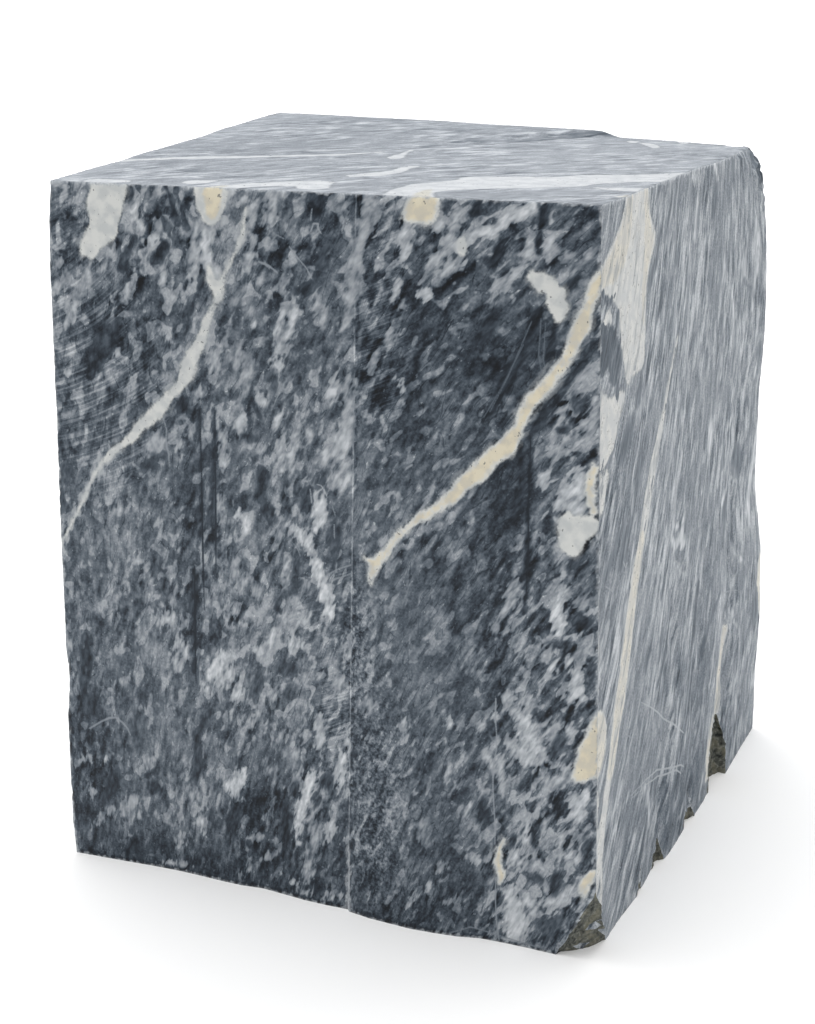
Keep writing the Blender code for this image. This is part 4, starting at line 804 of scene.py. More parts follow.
def onlyTriangles(mesh):
    bmesh.ops.triangulate(mesh, faces=[face for face in mesh.faces if len(face.verts) > 3])


def dropSlivers(mesh):
    # faces without area are closed up; of faces that lie on each other only an odd one out stays
    bmesh.ops.dissolve_degenerate(mesh, dist=0.00002, edges=mesh.edges[:])
    onlyTriangles(mesh)
    stacks = {}
    for face in mesh.faces:
        stacks.setdefault(tuple(sorted(vertex.index for vertex in face.verts)), []).append(face)
    spare = [face for stack in stacks.values() if len(stack) > 1 for face in stack[len(stack) % 2:]]
    if spare:
        bmesh.ops.delete(mesh, geom=spare, context="FACES")


def refineBlock(mesh, kindLayer, edgeTree, shape):
    # cuts long edges in two, pass by pass, until the points lie as close as the marks ask for
    for step in range(shape["passes"]):
        edges = mesh.edges[:]
        ends = np.array([(*edge.verts[0].co, *edge.verts[1].co) for edge in edges])
        middle = (ends[:, :3] + ends[:, 3:]) / 2.0
        length = np.linalg.norm(ends[:, :3] - ends[:, 3:], axis=1) * 1000.0
        kinds = np.array([[edge.link_faces[side][kindLayer] for side in (0, -1)] for edge in edges])
        near = np.array([edgeTree.find(point)[2] for point in middle]) * 1000.0
        target = np.full(len(edges), farSpacing)
        for name, sheet in faceSheets.items():
            rows = np.flatnonzero((kinds == kindNames.index(name)).any(axis=1) & (length > 1.0))
            if not len(rows):
                continue
            points = middle[rows][:, sheet["axes"]] * 1000.0
            wide = markTarget(points, sheet["marks"], shape["finestSpacing"] * sheet["coarse"])
            wide = np.minimum(sheet["spacing"], wide)
            edgeWide = shape["edgeSpacing"] * sheet["coarse"] + shape["edgeGrowth"] * near[rows]
            target[rows] = np.minimum(target[rows], np.minimum(wide, edgeWide))
        broken = (kinds == kindNames.index("broken")).any(axis=1)
        target[broken] = np.minimum(target[broken], shape["brokenSpacing"])
        chosen = [edges[i] for i in np.flatnonzero(length > shape["tooLong"] * target)]
        if not chosen:
            break
        bmesh.ops.subdivide_edges(mesh, edges=chosen, cuts=1, use_grid_fill=False)
        onlyTriangles(mesh)
        print("  pass", step + 1, "faces", len(mesh.faces))


# streaks of the sawn faces: height, size across and size along in mm, and their directions
sideStreaks = {"height": 0.34, "narrow": 3.4, "long": 42.0, "seed": 2.0,
               "along": Vector((0.0, 0.28, 1.0)).normalized(),
               "across": Vector((0.0, 1.0, -0.28)).normalized()}
sawnStreaks = {
    "right": sideStreaks, "left": sideStreaks,
    "top": {"height": 0.26, "narrow": 3.6, "long": 30.0, "seed": 6.0,
            "along": Vector((math.cos(0.62), math.sin(0.62), 0.0)),
            "across": Vector((-math.sin(0.62), math.cos(0.62), 0.0))},
    "back": {"height": 0.34, "narrow": 4.0, "long": 40.0, "seed": 3.0,
             "along": Vector((-0.25, 0, 1)), "across": Vector((1, 0, 0.25))},
}


def ridges(point, streaks):
    # quick changes across, slow ones along
    across, along = point.dot(streaks["across"]), point.dot(streaks["along"])
    spot = Vector((across / streaks["narrow"], along / streaks["long"], streaks["seed"]))
    finer = noise.noise(spot * 2.1 + Vector((5.0, 1.0, streaks["seed"])))
    return streaks["height"] * (noise.noise(spot) + 0.5 * finer)


def reliefAt(point, kinds, away, shape):
    # how far a point of the surface is lifted, in mm, by grain, streaks and chips
    sawn = next((name for name in sawnStreaks if name in kinds), None)
    if "broken" in kinds:
        coarse, fine = shape["brokenGrain"]
        grain = noise.noise(point / coarse) + 0.55 * noise.noise(point / fine + Vector((9, 0, 0)))
        return shape["brokenRelief"] * grain - 0.2
    if sawn:
        lift = ridges(point, sawnStreaks[sawn])
    else:
        lift = shape["polishRelief"] * noise.noise(point / 9.0)
    corner = max(0.0, 1.0 - (point - Vector(shape["cornerPlace"])).length / shape["cornerReach"])
    if corner:
        coarse, fine = shape["cornerGrain"]
        crumbs = noise.noise(point / coarse) + 0.6 * noise.noise(point / fine) - 0.35
        lift += shape["cornerRelief"] * corner * crumbs
    if away < shape["chipReach"]:
        coarse, fine = shape["chipGrain"]
        rough = 0.5 + 0.5 * noise.noise(point / coarse + Vector((3, 1, 8)))
        bite = max(noise.noise(point / fine + Vector((0, 4, 2))) - 0.12, 0.0) * 1.9
        soft = 1.0 - away / shape["chipReach"]
        lowRight = point.x > 150 and point.y < -150 and point.z < 150
        share = 1.0 if lowRight else shape["chipElsewhere"]
        lift -= soft ** 1.6 * (shape["edgeRound"] + shape["edgeChip"] * bite * rough * share)
    return lift


def weatherBlock(mesh, kindLayer, edgeTree, shape):
    # moves every point along its normal; what stands on the ground stays there
    mesh.normal_update()
    moves = []
    for vertex in mesh.verts:
        kinds = {kindNames[face[kindLayer]] for face in vertex.link_faces}
        away = edgeTree.find(vertex.co)[2] * 1000.0
        lift = reliefAt(vertex.co * 1000.0, kinds, away, shape)
        moves.append((vertex, vertex.normal * (lift / 1000.0)))
    for vertex, move in moves:
        standing = vertex.co.z < 0.0002
        vertex.co += move
        vertex.co.z = 0.0 if standing else max(vertex.co.z, 0.0)


markDepth = 8.0     # mm, a mark's field is kept within this depth


def markFields(points, marks):
    # for one face: how deep each point lies in every kind of mark, in mm, and the tones there
    fields = {}
    for name in ("cream", "white", "light", "dark", "scratchAndStepShade"):
        fields[name] = np.full(len(points), -markDepth)
    for name in ("cream", "white"):
        shapes = [strokeField(points, stroke) for stroke in marks[name + "Strokes"]]
        shapes += [outlineField(points, outline) for outline in marks.get(name + "Outlines", [])]
        for shape in shapes:
            fields[name] = np.maximum(fields[name], shape)
    for name in ("light", "dark", "scratchAndStepShade"):
        tones = fields[name + "Tone"] = np.full(len(points), 0.5)
        shapes = [(tone, strokeField(points, stroke)) for tone, stroke in marks[name + "Strokes"]]
        shapes += [(fleck[5], fleckField(points, fleck)) for fleck in marks.get(name + "Flecks", [])]
        for tone, shape in shapes:
            nearer = shape > fields[name]
            tones[nearer] = tone
            fields[name][nearer] = shape[nearer]
    fields["zone"] = zoneTone(points, marks["zones"], marks["baseTone"])
    fields["lobes"] = zoneTone(points, marks.get("lobeZones", []), marks["lobes"])
    for name in ("saw", "hatch", "speckle"):
        fields[name] = zoneTone(points, marks.get(name + "Zones", []), 0.0)
    return fields


def fillMarks(data, kindOfPolygon):
    # one set of corner values for each marking, worked out on each face's own sheet
    loopVertex = np.zeros(len(data.loops), np.int64)
    data.loops.foreach_get("vertex_index", loopVertex)
    place = np.zeros(len(data.vertices) * 3)
    data.vertices.foreach_get("co", place)
    place = place.reshape(-1, 3) * 1000.0
    loopKind = np.repeat(kindOfPolygon, 3)
    values = {}
    for kind, sheet in faceSheets.items():
        rows = np.flatnonzero(loopKind == kindNames.index(kind))
        used, back = np.unique(loopVertex[rows], return_inverse=True)
        for name, field in markFields(place[used][:, sheet["axes"]], sheet["marks"]).items():
            corners = values.setdefault(name, np.zeros(len(loopVertex), np.float32))
            corners[rows] = np.clip(field, -markDepth, markDepth)[back]
    for name, corners in values.items():
        data.attributes.new(name, "FLOAT", "CORNER").data.foreach_set("value", corners)


def addObject(name, data):
    thing = bpy.data.objects.new(name, data)
    bpy.context.scene.collection.objects.link(thing)
    return thing


def shadeSmooth(data):
    for polygon in data.polygons:
        polygon.use_smooth = True


def makeBlock(shape):
    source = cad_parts["marble_block"].data
    mesh = bmesh.new()
    mesh.from_mesh(source)
    bmesh.ops.remove_doubles(mesh, verts=mesh.verts[:], dist=0.00001)
    onlyTriangles(mesh)
    mesh.verts.index_update()
    dropSlivers(mesh)
    mesh.normal_update()
    kindLayer = mesh.faces.layers.int.new("kind")
    for face in mesh.faces:
        face[kindLayer] = kindNames.index(kindOfFace(face.calc_center_median(), face.normal))
    edgeTree = treeOf(boundaryPoints(mesh, kindLayer))
    refineBlock(mesh, kindLayer, edgeTree, shape)
    mesh.verts.index_update()
    dropSlivers(mesh)
    weatherBlock(mesh, kindLayer, edgeTree, shape)
    data = bpy.data.meshes.new("veined_block")
    mesh.to_mesh(data)
    kindOfPolygon = np.array([face[kindLayer] for face in mesh.faces])
    mesh.free()
    away = np.array([edgeTree.find(vertex.co)[2] * 1000.0 for vertex in data.vertices])
    layer = data.attributes.new("edgeAway", "FLOAT", "POINT")
    layer.data.foreach_set("value", np.clip(away, 0.0, 20.0).astype(np.float32))
    fillMarks(data, kindOfPolygon)
    for name in kindNames:
        data.materials.append(faceMaterials[name])
    data.polygons.foreach_set("material_index", kindOfPolygon)
    data.attributes.remove(data.attributes["kind"])
    block = addObject("veined_block", data)
    shadeSmooth(data)
    data.set_sharp_from_angle(angle=math.radians(shape["sharpAngle"]))
    print("marble block: mesh with", len(data.polygons), "faces")
    return block


def addNode(tree, kind, **settings):
    node = tree.nodes.new(kind)
    for name, value in settings.items():
        setattr(node, name, value)
    return node


def feed(tree, socket, value):
    if isinstance(value, bpy.types.NodeSocket):
        tree.links.new(value, socket)
    else:
        socket.default_value = value


def sums(tree, operation, a, b=0.0, c=0.0):
    node = addNode(tree, "ShaderNodeMath", operation=operation)
    for socket, value in zip(node.inputs, (a, b, c)):
        feed(tree, socket, value)
    return node.outputs[0]


def plus(tree, first, *others):
    for other in others:
        first = sums(tree, "ADD", first, other)
    return first


def minus(tree, a, b):
    return sums(tree, "SUBTRACT", a, b)


def times(tree, a, b):
    return sums(tree, "MULTIPLY", a, b)


def spread(tree, value, low, high, start=0.0, end=1.0, soft=True):
    # turns low to high into start to end
    node = addNode(tree, "ShaderNodeMapRange", interpolation_type="SMOOTHSTEP" if soft else "LINEAR")
    feed(tree, node.inputs["Value"], value)
    for name, number in (("From Min", low), ("From Max", high), ("To Min", start), ("To Max", end)):
        feed(tree, node.inputs[name], number)
    return node.outputs["Result"]


def sway(tree, value, low, high):
    # the middle part of a cloud, spread evenly from low to high
    return spread(tree, value, 0.3, 0.7, low, high, soft=False)


def veinlets(tree, value, thin, wide, strength):
    # fine lines where a cloud passes its middle value
    return spread(tree, sums(tree, "ABSOLUTE", minus(tree, value, 0.5)), thin, wide, strength, 0.0)


def blendValue(tree, share, a, b):
    node = addNode(tree, "ShaderNodeMix", data_type="FLOAT")
    for socket, value in zip((node.inputs[0], node.inputs[2], node.inputs[3]), (share, a, b)):
        feed(tree, socket, value)
    return node.outputs[0]


def blendColour(tree, share, a, b):
    node = addNode(tree, "ShaderNodeMix", data_type="RGBA")
    for socket, value in zip((node.inputs[0], node.inputs[6], node.inputs[7]), (share, a, b)):
        feed(tree, socket, value)
    return node.outputs[2]


def markValue(tree, name):
    return addNode(tree, "ShaderNodeAttribute", attribute_type="GEOMETRY", attribute_name=name).outputs["Fac"]


def stoneSpot(tree):
    # place on the stone, in millimetres
    where = addNode(tree, "ShaderNodeTexCoord").outputs["Object"]
    node = addNode(tree, "ShaderNodeVectorMath", operation="SCALE")
    feed(tree, node.inputs[0], where)
    node.inputs["Scale"].default_value = 1000.0
    return node.outputs[0]


def lengthAlong(tree, spot, direction):
    node = addNode(tree, "ShaderNodeVectorMath", operation="DOT_PRODUCT")
    feed(tree, node.inputs[0], spot)
    node.inputs[1].default_value = direction
    return node.outputs["Value"]


def combine(tree, *parts):
    node = addNode(tree, "ShaderNodeCombineXYZ")
    for socket, value in zip(node.inputs, parts):
        feed(tree, socket, value)
    return node.outputs[0]


def grainSpace(tree, spot, along, across, fan=None):
    # millimetres along the grain, across it and through it; where it fans out, its lean
    # changes from side to side: lean, change for each mm, middle height, sideways
    along, across = Vector(along), Vector(across)
    through = lengthAlong(tree, spot, along.cross(across))
    if not fan:
        return combine(tree, lengthAlong(tree, spot, along), lengthAlong(tree, spot, across), through)
    lean, change, middle, sideways = fan
    east, height = lengthAlong(tree, spot, sideways), lengthAlong(tree, spot, (0, 0, 1))
    lean = sums(tree, "MULTIPLY_ADD", east, change, lean)
    drift = times(tree, minus(tree, height, middle), lean)
    return combine(tree, height, minus(tree, east, drift), through)


def grainSpot(tree, grain, size, stretch, shift=0.0):
    node = addNode(tree, "ShaderNodeVectorMath", operation="MULTIPLY_ADD")
    feed(tree, node.inputs[0], grain)
    node.inputs[1].default_value = (1.0 / (size * stretch), 1.0 / size, 1.0 / size)
    node.inputs[2].default_value = (shift, shift * 0.7, shift * 1.3)
    return node.outputs[0]


def cloud(tree, where, size=1.0, detail=2.0, rough=0.5, twist=0.0):
    node = addNode(tree, "ShaderNodeTexNoise")
    feed(tree, node.inputs["Vector"], where)
    settings = {"Scale": 1.0 / size, "Detail": detail, "Roughness": rough, "Distortion": twist}
    for name, value in settings.items():
        node.inputs[name].default_value = value
    return node.outputs["Fac"]


def linearTone(value):
    value /= 255.0
    return value / 12.92 if value <= 0.04045 else ((value + 0.055) / 1.055) ** 2.4


def paint(colour, shade=(1.0, 1.0, 1.0)):
    return (*(linearTone(part) * share for part, share in zip(colour, shade)), 1.0)


def ramp(tree, share, stops, shade=(1.0, 1.0, 1.0)):
    node = addNode(tree, "ShaderNodeValToRGB")
    feed(tree, node.inputs["Fac"], share)
    points = node.color_ramp.elements
    while len(points) < len(stops):
        points.new(0.5)
    for point, (position, colour) in zip(points, stops):
        point.position = position
        point.color = paint(colour, shade)
    return node.outputs["Color"]


def newMaterial(name):
    material = bpy.data.materials.new(name)
    material.use_nodes = True
    return material, material.node_tree, material.node_tree.nodes["Principled BSDF"]


def addBump(tree, shader, height, strength, distance=0.001):
    bump = addNode(tree, "ShaderNodeBump")
    bump.inputs["Strength"].default_value = strength
    bump.inputs["Distance"].default_value = distance
    feed(tree, bump.inputs["Height"], height)
    feed(tree, shader.inputs["Normal"], bump.outputs["Normal"])


greyStone = [(0.00, (3, 4, 7)), (0.12, (12, 17, 24)), (0.20, (29, 37, 46)), (0.28, (50, 59, 69)),
             (0.36, (74, 84, 94)), (0.44, (98, 107, 116)), (0.52, (122, 130, 138)),
             (0.60, (147, 153, 159)), (0.68, (168, 173, 178)), (0.76, (189, 194, 198)),
             (0.84, (211, 214, 217)), (0.92, (232, 235, 237)), (1.00, (252, 254, 255))]
# Clouds are size in mm, stretch along the grain and strength. "calm" is the mottling of the
# calmest stone, "ease" its share where the broad clouds are low, "drift" their own strength.
finishes = {
    "front": {
        "along": (math.cos(1.10), 0.0, math.sin(1.10)), "across": (-math.sin(1.10), 0.0, math.cos(1.10)),
        "fan": (0.36, 0.0012, 250.0, (1, 0, 0)), "palest": 0.68, "shade": (0.91, 0.915, 0.925),
        "blotch": (12.0, 2.0, 0.195), "fleck": (4.0, 1.9, 0.105), "fine": (1.6, 0.04), "twist": 0.35,
        "calm": 0.36, "ease": 0.75, "drift": 0.0, "lobe": (8.0, 1.5, 0.24), "wisp": (7.0, 3.5, 0.11),
        "speck": 0.16, "ragged": 0.42, "edgeSoft": 1.2, "rough": (0.34, 0.52), "specular": 0.22,
        "bump": 0.06, "wear": 0.72, "whiteDark": (200, 203, 202), "whiteLight": (220, 221, 217),
        "creamDark": (216, 205, 179), "creamLight": (228, 219, 195), "cracks": 0.0, "smoke": 0.10, "cut": 0.0,
    },
    "right": {
        "along": (0.0, 0.42, 0.907), "across": (0.0, -0.907, 0.42),
        "fan": (0.40, -0.0014, 250.0, (0, 1, 0)), "palest": 0.80, "shade": (0.89, 0.895, 0.905),
        "blotch": (11.0, 3.6, 0.13), "fleck": (4.6, 3.6, 0.12), "fine": (1.3, 0.06), "twist": 0.3,
        "calm": 0.50, "ease": 0.35, "drift": 0.03, "lobe": (6.0, 3.4, 0.12), "wisp": (7.0, 5.0, 0.11),
        "speck": 0.08, "ragged": 0.42, "edgeSoft": 1.3, "rough": (0.62, 0.86), "specular": 0.25,
        "bump": 0.30, "wear": 0.78, "whiteDark": (208, 210, 209), "whiteLight": (224, 224, 220),
        "creamDark": (214, 211, 201), "creamLight": (227, 223, 211), "cracks": 0.8, "smoke": 0.75, "cut": 7.0,
    },
    "top": {
        "along": (math.cos(0.85), math.sin(0.85), 0.0), "across": (-math.sin(0.85), math.cos(0.85), 0.0),
        # The top's shade, about half the other faces', darkens its colours against the strong lamp above:
        # painted shade on the top.
        "fan": None, "palest": 0.90, "shade": (0.470, 0.482, 0.504),
        "blotch": (14.0, 2.8, 0.09), "fleck": (4.6, 3.4, 0.09), "fine": (1.3, 0.05), "twist": 0.3,
        "calm": 0.85, "ease": 0.40, "drift": 0.02, "lobe": (6.0, 3.0, 0.10), "wisp": (8.0, 5.0, 0.08),
        "speck": 0.05, "ragged": 0.42, "edgeSoft": 1.6, "rough": (0.66, 0.88), "specular": 0.25,
        "bump": 0.30, "wear": 0.86, "whiteDark": (226, 228, 229), "whiteLight": (243, 244, 243),
        "creamDark": (222, 217, 201), "creamLight": (234, 230, 215), "cracks": 0.2, "smoke": 0.12, "cut": 4.0,
    },
}
finishes["left"] = dict(finishes["right"], blotch=(15.0, 2.6, 0.12), fleck=(5.0, 2.4, 0.10), ease=0.25,
                        calm=0.42, drift=0.075, lobe=(8.0, 2.0, 0.10), wisp=(16.0, 2.6, 0.12), palest=0.74,
                        ragged=0.95, smoke=0.9, cut=5.0)
finishes["back"] = dict(finishes["left"], along=(-0.25, 0.0, 0.968), across=(0.968, 0.0, 0.25),
                        fan=(-0.26, 0.0010, 250.0, (1, 0, 0)), blotch=(17.0, 2.2, 0.14))
everyFinish = {
    "broad": (42.0, 1.5),      # size in mm and stretch of the clouds behind everything else
    "edge": (5.0, 2.2),        # of the ragged rims of marks
    "salt": 2.3,               # size in mm of the speckles
    "body": 9.0,               # of the colour changes inside the veins
    "pits": (2.4, 0.7),        # size in mm and strength of the pits in the veins
    "cracks": (9.0, 1.6),
    "lightCover": 0.96, "darkCover": 0.86, "scratchAndStepShadeCover": 0.85, "bleedCover": 0.45,
    "bleedPaint": (150, 155, 158), "smokePaint": (158, 163, 167), "pitPaint": (84, 88, 92),
}
frontTraces = {
    "arcCentre": (-262.0, 0.0, 552.0), "arcPitch": 2.1, "arcLength": 46.0,    # mm, arcs of the saw
    "arcTone": (-0.06, 0.11),
    "hatchTurn": 0.42, "hatch": (1.5, 9.0), "hatchTone": (-0.06, 0.10),       # fine slanting lines
    "seamPlace": 21.0, "seamLean": -9.0 / 490.0, "seamGap": 2.2,              # mm, the saw seam
    "seamPale": 0.17, "seamDark": 0.10, "seamLeast": 0.02,
}


def seamLines(tree, spot, traces):
    # down the front: one pale hairline with a darker one beside it
    offset = minus(tree, lengthAlong(tree, spot, (1.0, 0.0, traces["seamLean"])), traces["seamPlace"])
    upright = grainSpace(tree, spot, (0, 0, 1), (1, 0, 0))
    broken = cloud(tree, grainSpot(tree, upright, 2.0, 5.0, shift=4.0), detail=1.0)
    pale = spread(tree, sums(tree, "ABSOLUTE", offset), 0.25, 0.95, 1.0, 0.0)
    beside = sums(tree, "ABSOLUTE", minus(tree, offset, traces["seamGap"]))
    dark = spread(tree, beside, 0.4, 1.8, 1.0, 0.0)
    pale = times(tree, pale, spread(tree, broken, 0.35, 0.6, traces["seamLeast"], traces["seamPale"]))
    dark = times(tree, dark, spread(tree, broken, 0.4, 0.65, traces["seamLeast"], traces["seamDark"]))
    return minus(tree, pale, dark)


def addTraces(tree, spot, tone, traces):
    # what the saw left on the polished front: arcs, fine slanting lines and the seam
    flat = addNode(tree, "ShaderNodeVectorMath", operation="MULTIPLY")
    feed(tree, flat.inputs[0], spot)
    flat.inputs[1].default_value = (1.0, 0.0, 1.0)
    ring = addNode(tree, "ShaderNodeVectorMath", operation="DISTANCE")
    feed(tree, ring.inputs[0], flat.outputs[0])
    ring.inputs[1].default_value = traces["arcCentre"]
    outward = sums(tree, "DIVIDE", ring.outputs["Value"], traces["arcPitch"])
    along = sums(tree, "DIVIDE", lengthAlong(tree, spot, (0.9, 0.0, 0.44)), traces["arcLength"])
    arcs = cloud(tree, combine(tree, outward, along), detail=1.0)
    arcs = spread(tree, arcs, 0.42, 0.66, *traces["arcTone"])
    c, s = math.cos(traces["hatchTurn"]), math.sin(traces["hatchTurn"])
    slanted = grainSpace(tree, spot, (c, 0.0, s), (-s, 0.0, c))
    hatch = cloud(tree, grainSpot(tree, slanted, *traces["hatch"], shift=3.0), detail=1.0)
    hatches = spread(tree, hatch, 0.40, 0.68, *traces["hatchTone"])
    return plus(tree, tone, times(tree, arcs, markValue(tree, "saw")),
                times(tree, hatches, markValue(tree, "hatch")), seamLines(tree, spot, traces))


def stoneClouds(tree, spot, look):
    # the clouds that several layers of the finish share
    grain = grainSpace(tree, spot, look["along"], look["across"], look["fan"])
    blotch = cloud(tree, grainSpot(tree, grain, *look["blotch"][:2]), twist=look["twist"])
    fleck = cloud(tree, grainSpot(tree, grain, *look["fleck"][:2], shift=7.0), twist=0.1)
    edge = cloud(tree, grainSpot(tree, grain, *everyFinish["edge"], shift=3.0), twist=0.4)
    return {"grain": grain, "blotch": blotch, "fleck": fleck, "edge": edge,
            "fine": cloud(tree, spot, look["fine"][0], detail=1.0),
            "wobble": plus(tree, sway(tree, edge, -1.8, 2.2), sway(tree, fleck, -1.2, 1.6))}


def stoneTone(tree, look, clouds):
    # tone of the stone itself: its zones, mottling, pale lobes, dark wisps, grit and specks
    lobes = markValue(tree, "lobes")     # 0 in calm stone, 1 where it is strongly mottled
    grain, blotch, fleck = clouds["grain"], clouds["blotch"], clouds["fleck"]
    broad = cloud(tree, grainSpot(tree, grain, *everyFinish["broad"], shift=53.0))
    blotches = sway(tree, blotch, -look["blotch"][2], look["blotch"][2])
    flecks = sway(tree, fleck, -look["fleck"][2], look["fleck"][2])
    mottle = times(tree, plus(tree, blotches, flecks), plus(tree, lobes, look["calm"]))
    mottle = times(tree, mottle, spread(tree, broad, 0.40, 0.60, look["ease"], 1.15))
    mottle = plus(tree, mottle, sway(tree, broad, -look["drift"], look["drift"] * 1.6))
    size, stretch, strength = look["lobe"]
    lobe = cloud(tree, grainSpot(tree, grain, size, stretch, shift=13.0), detail=1.5, twist=0.4)
    lobe = spread(tree, sums(tree, "MULTIPLY_ADD", lobes, 0.07, lobe), 0.585, 0.665)
    pale = times(tree, lobe, times(tree, plus(tree, lobes, 0.35), strength))
    size, stretch, strength = look["wisp"]
    wisp = cloud(tree, grainSpot(tree, grain, size, stretch, shift=21.0), detail=1.5, twist=0.8)
    wisp = times(tree, veinlets(tree, wisp, 0.002, 0.030, strength), spread(tree, blotch, 0.42, 0.56))
    tone = minus(tree, plus(tree, markValue(tree, "zone"), mottle, pale), wisp)
    tone = sums(tree, "SMOOTH_MIN", tone, look["palest"], 0.16)
    fines = sway(tree, clouds["fine"], -look["fine"][1], look["fine"][1])
    grit = plus(tree, fines, sway(tree, fleck, -0.035, 0.035))
    speck = cloud(tree, grainSpot(tree, grain, 2.0, 1.4, shift=41.0), detail=1.0)
    return plus(tree, tone, grit, spread(tree, speck, 0.70, 0.76, 0.0, look["speck"]))


def markedTone(tree, look, clouds, tone, darkIn):
    # pale marks, then dark ones, then scratches; some dark marks and one scratch line are painted shade along
    # the front's foot and the top's step
    fleck, soft = clouds["fleck"], look["edgeSoft"]
    lightIn = sums(tree, "MULTIPLY_ADD", clouds["wobble"], 1.35, markValue(tree, "light"))
    lightTone = plus(tree, markValue(tree, "lightTone"), sway(tree, clouds["blotch"], -0.05, 0.05),
                     spread(tree, lightIn, 0.0, 5.0, -0.04, 0.11), sway(tree, fleck, -0.09, 0.09))
    darkTone = plus(tree, markValue(tree, "darkTone"), sway(tree, fleck, -0.10, 0.12))
    lightMask = spread(tree, lightIn, -soft, soft, 0.0, everyFinish["lightCover"])
    darkMask = spread(tree, darkIn, -soft * 1.3, soft * 1.3, 0.0, everyFinish["darkCover"])
    scratchAndStepShadeMask = spread(tree, markValue(tree, "scratchAndStepShade"), -0.35, 0.5, 0.0, everyFinish["scratchAndStepShadeCover"])
    tone = blendValue(tree, lightMask, tone, lightTone)
    tone = blendValue(tree, darkMask, tone, darkTone)
    return blendValue(tree, scratchAndStepShadeMask, tone, markValue(tree, "scratchAndStepShadeTone"))


def addVeins(tree, look, clouds, spot, darkIn, colour):
    # a pale bleed round the veins, whiter rims, warmer hearts, a few pits and cracks
    shade, fleck = look["shade"], clouds["fleck"]
    vein = sums(tree, "MULTIPLY_ADD", clouds["wobble"], look["ragged"], sway(tree, clouds["fine"], -0.4, 0.4))
    vein = minus(tree, vein, spread(tree, darkIn, -0.2, 1.4, 0.0, look["cut"]))
    whiteIn = plus(tree, markValue(tree, "white"), vein)
    creamIn = plus(tree, markValue(tree, "cream"), vein)
    nearest = plus(tree, sums(tree, "MAXIMUM", whiteIn, creamIn), times(tree, clouds["wobble"], 0.5))
    bleed = spread(tree, nearest, -2.6, 0.2, 0.0, everyFinish["bleedCover"])
    colour = blendColour(tree, bleed, colour, paint(everyFinish["bleedPaint"], shade))
    body = cloud(tree, spot, everyFinish["body"], detail=3.0)
    pitSize, pitStrength = everyFinish["pits"]
    pits = spread(tree, cloud(tree, spot, pitSize, detail=1.0, twist=0.3), 0.70, 0.74, 0.0, pitStrength)
    crackSpot = grainSpot(tree, clouds["grain"], *everyFinish["cracks"], shift=31.0)
    crack = veinlets(tree, cloud(tree, crackSpot, detail=3.0, twist=1.6), 0.002, 0.012, look["cracks"])
    flaws = sums(tree, "MAXIMUM", pits, times(tree, crack, spread(tree, body, 0.42, 0.6)))
    white = blendColour(tree, spread(tree, body, 0.38, 0.62), paint(look["whiteDark"], shade),
                        paint(look["whiteLight"], shade))
    warm = blendColour(tree, spread(tree, body, 0.40, 0.62), paint(look["creamDark"], shade),
                       paint(look["creamLight"], shade))
    heart = times(tree, spread(tree, creamIn, 0.4, 3.4), spread(tree, body, 0.40, 0.56, 0.70, 1.0))
    cream = blendColour(tree, heart, white, warm)
    smoke = times(tree, spread(tree, clouds["blotch"], 0.46, 0.66),
                  spread(tree, fleck, 0.40, 0.62, 0.0, look["smoke"]))
    for inside, part in ((whiteIn, white), (creamIn, cream)):
        part = blendColour(tree, smoke, part, paint(everyFinish["smokePaint"], shade))
        part = blendColour(tree, flaws, part, paint(everyFinish["pitPaint"], shade))
        colour = blendColour(tree, spread(tree, inside, -1.0, 1.3), colour, part)
    return colour, pits


def addWear(tree, look, clouds, colour):
    # crushed, paler stone along the edges
    edge = plus(tree, markValue(tree, "edgeAway"), sway(tree, clouds["edge"], -1.4, 1.6))
    mask = times(tree, spread(tree, edge, 0.3, 2.2, 1.0, 0.0),
                 spread(tree, clouds["fleck"], 0.35, 0.6, 0.30, 0.90))
    tone = spread(tree, clouds["fine"], 0.25, 0.75, look["wear"] - 0.1, look["wear"] + 0.06)
    return blendColour(tree, mask, colour, ramp(tree, tone, greyStone, look["shade"]))


def stoneFace(name, look, traces=None):
    material, tree, shader = newMaterial(name)
    spot = stoneSpot(tree)
    clouds = stoneClouds(tree, spot, look)
    tone = stoneTone(tree, look, clouds)
    if traces:
        tone = addTraces(tree, spot, tone, traces)
    salt = cloud(tree, spot, everyFinish["salt"], detail=3.0, rough=0.6)
    salts = spread(tree, salt, 0.36, 0.64, -0.12, 0.09)
    tone = plus(tree, tone, times(tree, salts, markValue(tree, "speckle")))
    darkIn = plus(tree, markValue(tree, "dark"), clouds["wobble"])
    tone = markedTone(tree, look, clouds, tone, darkIn)
    colour = ramp(tree, tone, greyStone, look["shade"])
    colour, pits = addVeins(tree, look, clouds, spot, darkIn, colour)
    feed(tree, shader.inputs["Base Color"], addWear(tree, look, clouds, colour))
    feed(tree, shader.inputs["Roughness"], spread(tree, clouds["fleck"], 0.3, 0.7, *look["rough"]))
    shader.inputs["Specular IOR Level"].default_value = look["specular"]
    relief = plus(tree, times(tree, clouds["fleck"], 0.8), times(tree, clouds["fine"], 0.35))
    addBump(tree, shader, minus(tree, relief, times(tree, pits, 0.5)), look["bump"])
    return material


brokenLook = {
    "dark": (38, 41, 40), "mid": (92, 94, 88), "light": (146, 147, 138), "warm": (104, 101, 84),
    "grain": 3.2, "patch": 9.0,     # sizes in mm
    "rough": (0.7, 0.95), "specular": 0.3, "bump": 0.8, "bumpDepth": 0.0012,
}


